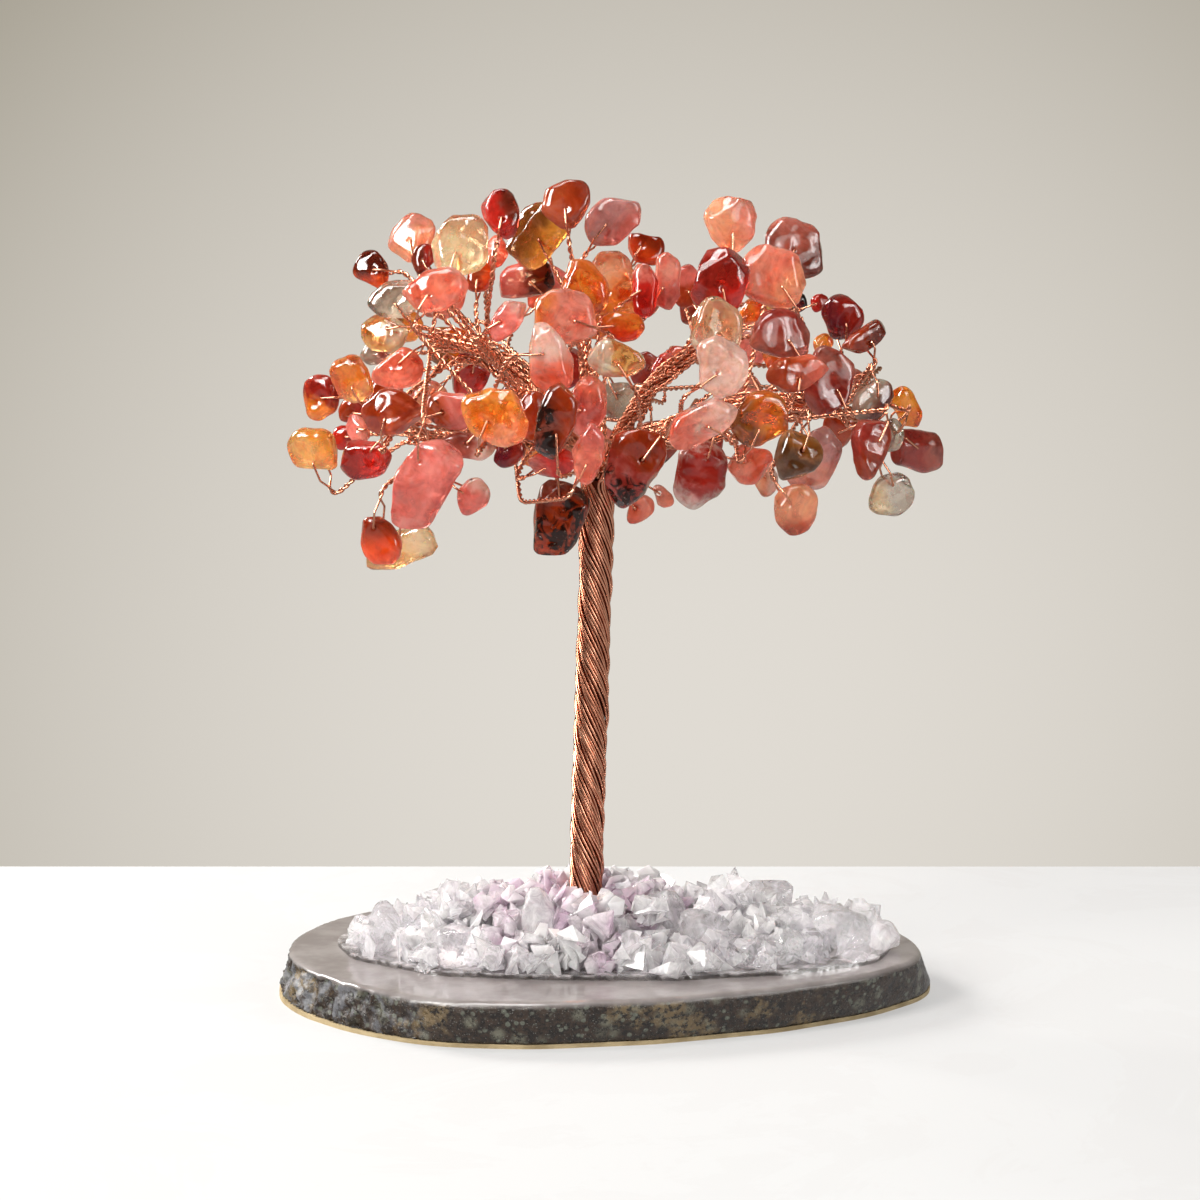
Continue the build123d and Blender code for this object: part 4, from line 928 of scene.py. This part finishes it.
def tumbled(node, material):
    """Polish a node's stones and tint them one by one."""
    piece, part = polished(node, node + "_polished", 1.0 if node in SWING_TINTS else STONE_GROWTH)
    places = points_of(piece.data)
    count = len(places)
    middles = [places[own].mean(axis=0) for own in each_own(part)]
    body, second, marks = np.ones((count, 4)), np.ones((count, 4)), np.zeros((count, 3))
    reach, edge = np.zeros(count), np.zeros(count)
    for own, middle, tints in zip(each_own(part), middles, chosen_tints(node, middles)):
        one, two, turn, start, char, band, rim = tints
        body[own, :3], second[own, :3] = TINTS[one], TINTS[two]
        marks[own] = (char, band, rim)
        away = places[own] - middle
        along = away @ np.array((math.cos(math.radians(turn)), 0, math.sin(math.radians(turn))))
        reach[own] = along / max(abs(along).max(), MM) - start
        spread = np.linalg.norm(away, axis=1)
        edge[own] = spread / spread.max()
    kept = {"body_tint": body, "second_tint": second, "marks": marks, "reach": reach, "edge": edge}
    for name, values in kept.items():
        store(piece.data, name, values)
    settle(piece, node, material)


def loose_parts(bm):
    """The vertices of each separate part of a bmesh."""
    seen, parts = set(), []
    for first in bm.verts:
        if first in seen:
            continue
        seen.add(first)
        part, rim = [first], [first]
        while rim:
            fresh = {edge.other_vert(vert) for vert in rim for edge in vert.link_edges} - seen
            seen |= fresh
            rim = list(fresh)
            part += rim
        parts.append(part)
    return parts


def split_chips(bm, dice):
    """Break each large chip in two, across its longest way."""
    cut = []
    for part in loose_parts(bm):
        places = corner_places(part)
        middle = places.mean(axis=0)
        longest = np.linalg.eigh(np.cov((places - middle).T))[1][:, 2]
        length = np.ptp(places @ longest)
        if length < LARGE_CHIP * dice.uniform(1.0, CHIP_VARIETY) * MM:
            continue
        tilt = np.array([dice.gauss(0, SPLIT_TILT) for _ in range(3)])
        shift = dice.uniform(-SPLIT_SHIFT, SPLIT_SHIFT) * length
        faces = {face for vert in part for face in vert.link_faces}
        edges = {edge for vert in part for edge in vert.link_edges}
        found = bmesh.ops.bisect_plane(
            bm, geom=list(part) + list(edges) + list(faces), dist=WELD * MM,
            plane_co=middle + longest * shift, plane_no=longest + tilt,
        )
        cut += [made for made in found["geom_cut"] if isinstance(made, bmesh.types.BMEdge)]
    bmesh.ops.split_edges(bm, edges=cut)
    bmesh.ops.holes_fill(bm, edges=[edge for edge in bm.edges if edge.is_boundary], sides=0)


def crushed(node, material):
    """Quartz chips, broken smaller, each with a few sharp corners."""
    dice = random.Random(node)
    bm = bmesh_of(node)
    for _ in range(CHIP_SPLITS):
        split_chips(bm, dice)
    foot = trunk_ends()[0]
    shards, milk = bmesh.new(), []
    for part in loose_parts(bm):
        places = corner_places(part)
        middle = places.mean(axis=0)
        ways = np.array([[dice.gauss(0, 1) for _ in range(3)] for _ in range(CHIP_CORNERS)])
        corners = {int((places @ way).argmax()) for way in ways}
        if len(corners) < LEAST_CORNERS:
            continue
        axis = Vector(ways[0]).normalized()
        turn = Matrix.Rotation(math.radians(dice.uniform(-CHIP_TILT, CHIP_TILT)), 3, axis)
        turn = turn @ Matrix.Diagonal([1 + dice.uniform(-1, 1) * CHIP_STRETCH for _ in range(3)])
        made = [
            shards.verts.new(Vector(middle) + turn @ Vector(places[corner] - middle) * CHIP_GROWTH)
            for corner in sorted(corners)
        ]
        hull = bmesh.ops.convex_hull(shards, input=made)
        inside = [vert for vert in hull["geom_interior"] if isinstance(vert, bmesh.types.BMVert)]
        bmesh.ops.delete(shards, geom=inside, context="VERTS")
        # The heap is milky round the trunk and clears towards its rim
        from_trunk = np.linalg.norm((middle - foot)[:2]) / MM
        cloudy = MILK_START - from_trunk / MILK_REACH + dice.uniform(-MILK_SPREAD, MILK_SPREAD)
        milk += [cloudy] * (len(made) - len(inside))
    bm.free()
    bmesh.ops.recalc_face_normals(shards, faces=shards.faces)
    piece = piece_of(shards, node + "_crushed", smooth=False)
    store(piece.data, "milk", np.array(milk))
    settle(piece, node, material)


def glazed(node, material):
    """The large clear pieces of the heap, their breaks rounded by the resin on them."""
    piece, part = polished(node, node + "_glazed", 1.0)
    dice = random.Random(node)
    cloudy = np.array([dice.uniform(0.0, CHUNK_MILK) for _ in range(part.max() + 1)])
    store(piece.data, "milk", cloudy[part])
    settle(piece, node, material)


def ground_slab(material):
    """The slice: smooth on top, broken and ground round its rim."""
    low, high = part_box("base_slab")
    piece = piece_of(bmesh_of("base_slab"), "slice_polished")
    voxels(piece, SLAB_GRAIN)
    bm = opened(piece.data)
    softened(bm, SLAB_SMOOTHING)
    bm.normal_update()
    rims, broken_ends = [], []
    for vert in bm.verts:
        depth = (high.z - vert.co.z) / MM
        rim = share_of(depth, RIM_START, RIM_REACH)
        side = Vector((vert.normal.x, vert.normal.y, 0))
        left = share_of(-vert.co.x / MM, BREAK_START, BREAK_REACH) * (vert.co.y < BREAK_BACK * MM)
        if depth < SLAB_FLAT:
            vert.co.z = high.z
        if vert.co.z < low.z + SLAB_FOOT * MM:
            vert.co.z = low.z
        if side.length > RIM_SIDE:
            spot = vert.co / MM
            lumps = sum(abs(noise.noise(spot / width)) * sunk for width, sunk in RIM_LUMPS)
            width, sunk = RIM_GRAIN
            grain = noise.noise(spot / width) * 0.5 + 0.5
            sink = rim * (RIM_SINK + sunk * grain + lumps * (LUMP_SHARE + left))
            vert.co -= side.normalized() * sink * MM
        rims.append(rim)
        broken_ends.append(left * rim)
    put_back(bm, piece)
    store(piece.data, "rim", np.array(rims))
    store(piece.data, "broken", np.array(broken_ends))
    settle(piece, "base_slab", material)


def ordered(spots):
    """Spots of a line in the order in which it passes them, from its outer end."""
    chain = [int(np.linalg.norm(spots - spots.mean(axis=0), axis=1).argmax())]
    left = set(range(len(spots))) - set(chain)
    while left:
        near = min(left, key=lambda spot: np.linalg.norm(spots[spot] - spots[chain[-1]]))
        chain.append(near)
        left.remove(near)
    return spots[chain]


def grid_keys(places):
    """The places on a fine grid, which find the same vertex in two meshes."""
    return [tuple(key) for key in np.round(places / (SEAM * MM)).astype(int)]


def centre_lines(node, radius):
    """The middle line of each round wire in a CAD node, found from its surface and its normals."""
    mesh = frame["nodes"][node].data
    corners = np.empty(len(mesh.loops), np.int32)
    mesh.loops.foreach_get("vertex_index", corners)
    normals = np.empty(len(mesh.loops) * 3, np.float32)
    mesh.corner_normals.foreach_get("vector", normals)
    inner = points_of(mesh)[corners] - normals.reshape(-1, 3) * radius * MM
    joined = mesh_of(bmesh_of(node), "joined")
    part = islands(joined)
    keys = dict(zip(grid_keys(points_of(joined)), part))
    own = np.array([keys.get(key, -1) for key in grid_keys(points_of(mesh))])[corners]
    bpy.data.meshes.remove(joined)
    lines = []
    for number in range(part.max() + 1):
        grains = np.round(inner[own == number] / (LINE_GRAIN * MM)).astype(int)
        rounded, counts = np.unique(grains, axis=0, return_counts=True)
        spots = rounded[counts >= LINE_CORNERS] * LINE_GRAIN * MM
        if len(spots) < 2:
            continue
        line = ordered(spots)
        kept = [line[0]]
        for place in line[1:]:
            if np.linalg.norm(place - kept[-1]) > LINE_SPACING * MM:
                kept.append(place)
        lines.append(np.array(kept))
    return lines


def resampled(line, step):
    """Points at even steps along a line."""
    runs = np.linalg.norm(np.diff(line, axis=0), axis=1)
    along = np.concatenate(([0.0], np.cumsum(runs)))
    count = max(int(round(along[-1] / step)), 2)
    stops = np.linspace(0, along[-1], count + 1)
    return np.stack([np.interp(stops, along, line[:, axis]) for axis in range(3)], axis=1)


def eased(line, rounds):
    """A line with its corners softened, its ends kept."""
    line = line.copy()
    for _ in range(rounds):
        line[1:-1] = line[1:-1] * 0.5 + (line[:-2] + line[2:]) * 0.25
    return line


def sideways(line):
    """Two directions square to a line at each of its points, which turn as little as they can."""
    ahead = np.gradient(line, axis=0)
    ahead /= np.linalg.norm(ahead, axis=1)[:, None]
    side, one = WINDING_START, []
    for way in ahead:
        side = side - way * (side @ way)
        side /= np.linalg.norm(side)
        one.append(side)
    one = np.array(one)
    return one, np.cross(ahead, one)


def wound(line, radius, lay, phase, step):
    """A line that winds round another at a distance."""
    one, two = sideways(line)
    turn = phase + np.arange(len(line)) * step / lay * math.tau
    ring = one * np.cos(turn)[:, None] + two * np.sin(turn)[:, None]
    return line + ring * radius * MM


def woven(line, phase):
    """How a pair wanders as it weaves between its neighbours."""
    reach = np.arange(len(line)) * LINE_STEP / WEAVE_LENGTH
    wander = [[noise.noise((phase, along, 3.0 * axis)) for axis in range(3)] for along in reach]
    return np.array(wander).reshape(-1, 3) * WEAVE * MM


def pair(line, phase):
    """The two wires of a twisted pair along a line."""
    step = PAIR_LAY / PAIR_STEPS
    line = resampled(line, step * MM)
    gap = WIRE / 2 + PAIR_GAP
    return [wound(line, gap, PAIR_LAY, phase + half, step) for half in (0.0, math.pi)]


def wires(name, lines, diameter, material, node):
    """Round wires along lines, as one piece that stands for a CAD node."""
    curve = bpy.data.curves.new(name, "CURVE")
    curve.dimensions = "3D"
    curve.bevel_depth = diameter / 2 * MM
    curve.bevel_resolution = 1
    curve.use_fill_caps = True
    for line in lines:
        spline = curve.splines.new("POLY")
        spline.points.add(len(line) - 1)
        spline.points.foreach_set("co", np.hstack((line, np.ones((len(line), 1)))).ravel())
    shape = put_in_scene(name, curve)
    mesh = baked_mesh(shape)
    bpy.data.objects.remove(shape)
    bpy.data.curves.remove(curve)
    mesh.name = name
    shade(mesh)
    settle(put_in_scene(name, mesh), node, material)


def rope(line, dice):
    """The pairs that wind along a limb, the first of them straight and some of them short."""
    lines = []
    for number in range(ROPE_PAIRS + 1):
        reach = 1.0 if number < 2 else dice.uniform(SHORTEST_PAIR, 1.0)
        part = line[: max(int(len(line) * reach), SHORTEST_COUNT)]
        out = 0.0 if number == 0 else ROPE_RADIUS * dice.uniform(*RADIUS_SPREAD)
        lay = ROPE_LAY * dice.uniform(*LAY_SPREAD)
        turned = wound(part, out, lay, math.tau * number / ROPE_PAIRS, LINE_STEP)
        lines += pair(turned, dice.uniform(0, 6))
    return lines


def rooted(line, limb, dice):
    """A twist's line, led back along its limb at the side where it leaves."""
    gaps = [np.linalg.norm(limb - end, axis=1) for end in (line[0], line[-1])]
    if gaps[0].min() > gaps[1].min():
        line, gaps = line[::-1], gaps[::-1]
    leaves = int(gaps[0].argmin())
    root = limb[ROOT_START : max(leaves - ROOT_GAP, ROOT_END)]
    out = line[0] - limb[leaves]
    out = out / np.linalg.norm(out)
    slip = np.array([dice.uniform(-1, 1) for _ in range(3)]) * ROOT_SLIP
    rise = np.linspace(*ROOT_RISE, len(root))[:, None] * MM
    root = root + (out + slip) * rise + woven(root, dice.uniform(0, 100))
    return eased(resampled(np.vstack((root, line)), LINE_STEP * MM), TWIST_EASING)


def dress_wires():
    """Limbs as ropes of twisted pairs, and each twist as a pair that leaves its rope."""
    bright = copper("bright_copper", srgb(226, 162, 132), srgb(180, 108, 80), 0.20)
    dice = random.Random(ROPE_SEED)
    trunk_top = trunk_ends()[1]
    names = sorted(name[: -len("_limb")] for name in frame["nodes"] if name.endswith("_limb"))
    limbs = {}
    for name in names:
        line = centre_lines(name + "_limb", LIMB_RADIUS)[0]
        if np.linalg.norm(line[0] - trunk_top) > np.linalg.norm(line[-1] - trunk_top):
            line = line[::-1]
        limbs[name] = eased(resampled(line, LINE_STEP * MM), LIMB_EASING)
        wires(name + "_rope", rope(limbs[name], dice), WIRE, bright, name + "_limb")
    for name in names:
        pairs = []
        for line in centre_lines(name + "_twists", TWIST_RADIUS):
            line = rooted(line, limbs[name], dice)
            pairs += pair(line, dice.uniform(0, 6))
        wires(name + "_pairs", pairs, WIRE, bright, name + "_twists")
        put_finish(frame["nodes"][name + "_eyes"], bright)
    wind_trunk(bright, limbs)
    # The core inside the windings is painted dark copper, as shade in the gaps between the wires
    dark = copper("shade_dark_core_copper", srgb(104, 50, 34), srgb(60, 28, 20), 0.4)
    put_finish(frame["nodes"]["trunk_core"], dark)


def trunk_ends():
    """The middle of the trunk core's foot and of its top."""
    bm = bmesh_of("trunk_core")
    places = corner_places(bm.verts)
    bm.free()
    middle = places[:, 2].mean()
    return places[places[:, 2] < middle].mean(axis=0), places[places[:, 2] > middle].mean(axis=0)


def wind_trunk(material, limbs):
    """The trunk: fine wires in bundles, wound left-handed, that part into the limbs at the top."""
    low, high = trunk_ends()
    dice = random.Random(TRUNK_SEED)
    length = np.linalg.norm(high - low)
    axis = (high - low) / length
    one = np.cross((0.0, 1.0, 0.0), axis)
    one /= np.linalg.norm(one)
    two = np.cross(axis, one)
    rises = np.arange(0, length / MM + TRUNK_STEP / 2, TRUNK_STEP)
    lines = []
    for number in range(TRUNK_WIRES):
        seat = math.tau * number / TRUNK_WIRES
        near = TRUNK_NOISE * np.array((math.cos(seat), math.sin(seat)))
        shift = np.array([noise.noise((near[0], rise / SHIFT_REACH, near[1])) for rise in rises])
        swell = np.array([noise.noise((near[0] + 9, rise / SWELL_REACH, near[1])) for rise in rises])
        turn = seat - math.tau * rises / TRUNK_LAY + shift * TRUNK_SHIFT
        # A groove lies between each two bundles
        bundle = abs(math.cos(TRUNK_BUNDLES / 2 * seat)) * BUNDLE_RISE
        out = np.minimum(TRUNK_RADIUS - BUNDLE_RISE + bundle + swell * TRUNK_SWELL, TRUNK_LIMIT)
        spoke = one * np.cos(turn)[:, None] + two * np.sin(turn)[:, None]
        line = low + axis * rises[:, None] * MM + spoke * out[:, None] * MM
        side = spoke[-1]
        limb = max(limbs.values(), key=lambda places: (places[0] - high) @ side)
        flare = int(dice.uniform(*FLARE_SPREAD) * FLARE_LENGTH / LINE_STEP)
        run = limb[FLARE_START : FLARE_START + flare : FLARE_SKIP]
        fall = np.linspace(*FLARE_OUT, len(run))[:, None] * MM
        line = np.vstack((line[:-1], run + side * fall))
        lines.append(eased(resampled(line, TRUNK_STEP * MM), TRUNK_EASING))
    wires("trunk_windings", lines, TRUNK_WIRE, material, "trunk_strands")


def dress_stones():
    """Every stone, in the finish of its family."""
    finishes = {family: gemstone(family + "_agate", *row) for family, row in CLEARNESS.items()}
    for node in sorted(frame["nodes"]):
        if family_of(node):
            tumbled(node, finishes[family_of(node)])


def dress_base():
    """Chips, resin, slice and backing."""
    clear = quartz("clear_chips", srgb(252, 249, 249), srgb(246, 240, 244))
    rosy = quartz("rosy_chips", srgb(248, 236, 242), srgb(234, 202, 224))
    for node in sorted(frame["nodes"]):
        if node.startswith("quartz_chips"):
            crushed(node, clear)
    glazed("crystal_chunks", clear)
    crushed("rose_quartz_chips", rosy)
    put_finish(frame["nodes"]["resin_bed"], resin_film())
    ground_slab(slab_stone())
    put_finish(frame["nodes"]["backing_sheet"], cream_backing())


def white_table():
    """A white that looks lit from within to the camera, and matt to what stands on it."""
    kit = new_finish("white_table")
    spot = kit.place()
    vein = kit.ease(kit.cloud(spot, 60.0, 6.0, 0.7, 1.5), 0.48, 0.52)
    white = kit.mix(vein, (0.898, 0.895, 0.888), (0.89, 0.884, 0.874))
    matt = kit.mix(vein, (0.622, 0.619, 0.612), (0.612, 0.607, 0.60))
    lit = kit.node("BsdfDiffuse", {"Color": matt})
    path = kit.outputs("LightPath")
    seen = path["Is Camera Ray"] + path["Is Transmission Ray"]
    shown = kit.blend(seen * 0.45, lit, kit.shining("Emission", white, 1.0))
    # Polished things mirror only some of the table's white
    faint = kit.shining("Emission", white, 0.6)
    return kit.finished(kit.blend(path["Is Glossy Ray"], shown, faint))


def lay_table():
    """A table that ends behind the ornament."""
    bm = bmesh.new()
    bmesh.ops.create_grid(bm, x_segments=1, y_segments=1, size=1.0)
    bmesh.ops.scale(bm, vec=(*TABLE_HALF, 1.0), verts=bm.verts)
    bmesh.ops.translate(bm, vec=(0, TABLE_BACK - TABLE_HALF[1], 0), verts=bm.verts)
    edge = bmesh.ops.extrude_face_region(bm, geom=bm.faces[:])
    down = [made for made in edge["geom"] if isinstance(made, bmesh.types.BMVert)]
    bmesh.ops.translate(bm, vec=(0, 0, -TABLE_THICK), verts=down)
    bmesh.ops.recalc_face_normals(bm, faces=bm.faces)
    table = piece_of(bm, "table_top", smooth=False)
    put_finish(table, white_table())


def raise_wall():
    """A grey-beige wall past the table, and the room that polished and clear stones show."""
    world = bpy.data.worlds.new("studio")
    bpy.context.scene.world = world
    kit = Finish(world)
    way = kit.outputs("SeparateXYZ", {0: kit.node("TexCoord", output="Generated")})
    across, back, up = way["X"], way["Y"], way["Z"]
    # The wall is lit at its middle and falls off all round
    side, rise = across * 7.3 - 0.15, (up + 0.2) * 7.4
    fall = ((side * side + rise * rise) * 0.2).capped(0.62, 0.15)
    wall = kit.mix(fall, srgb(224, 219, 211), srgb(100, 89, 50))
    # What clear stones bend into view is the bright room round the wall
    room = kit.mix(fall, srgb(224, 219, 211), srgb(232, 226, 216))
    # The room on the camera's side is dim, so polished things show dark between the soft boxes
    dim = kit.mix(kit.ease(back, 0.2, 0.85), (0.035, 0.03, 0.026), wall)
    for toward, near, strength in WINDOWS:
        facing = across * toward[0] + back * toward[1] + up * toward[2]
        glare = kit.ease(facing, near - WINDOW_BLUR, near) * strength
        glare = kit.node("CombineXYZ", {0: glare, 1: glare, 2: glare * 0.96})
        dim = kit.mix(1.0, dim, glare, "ADD")
    path = kit.outputs("LightPath")
    mirrored, bent = path["Is Glossy Ray"], path["Is Transmission Ray"]
    seen = kit.ease(path["Is Camera Ray"] + mirrored + bent, 0.0, 1.0)
    shown = kit.mix(bent * 0.45, kit.mix(mirrored, wall, dim), room)
    glow = kit.shining("Background", (1.0, 0.98, 0.95), 0.42)
    drawn = kit.shining("Background", shown, 1.0)
    kit.finished(kit.blend(seen, glow, drawn), "OutputWorld")


def light_studio():
    """The soft boxes."""
    for name, (place, width, height, power, colour) in LAMPS.items():
        light = bpy.data.lights.new(name, "AREA")
        light.shape = "RECTANGLE"
        light.size = width
        light.size_y = height
        light.energy = power
        light.color = colour
        box = put_in_scene(name, light)
        box.location = place
        box.rotation_euler = (Vector(LAMP_AIM) - Vector(place)).to_track_quat("-Z", "Y").to_euler()


def set_camera():
    """The camera that took the photograph."""
    camera = bpy.data.cameras.new("photo_camera")
    camera.sensor_width = SENSOR
    camera.lens = LENS
    camera.clip_start = CAMERA_NEAR
    view = put_in_scene("photo_camera", camera)
    view.location = CAMERA_PLACE
    view.rotation_euler = (math.pi / 2 - CAMERA_TILT, 0, 0)
    bpy.context.scene.camera = view


bpy.context.scene.view_settings.view_transform = "Standard"
set_camera()
dress_wires()
dress_stones()
dress_base()
lay_table()
raise_wall()
light_studio()

import json
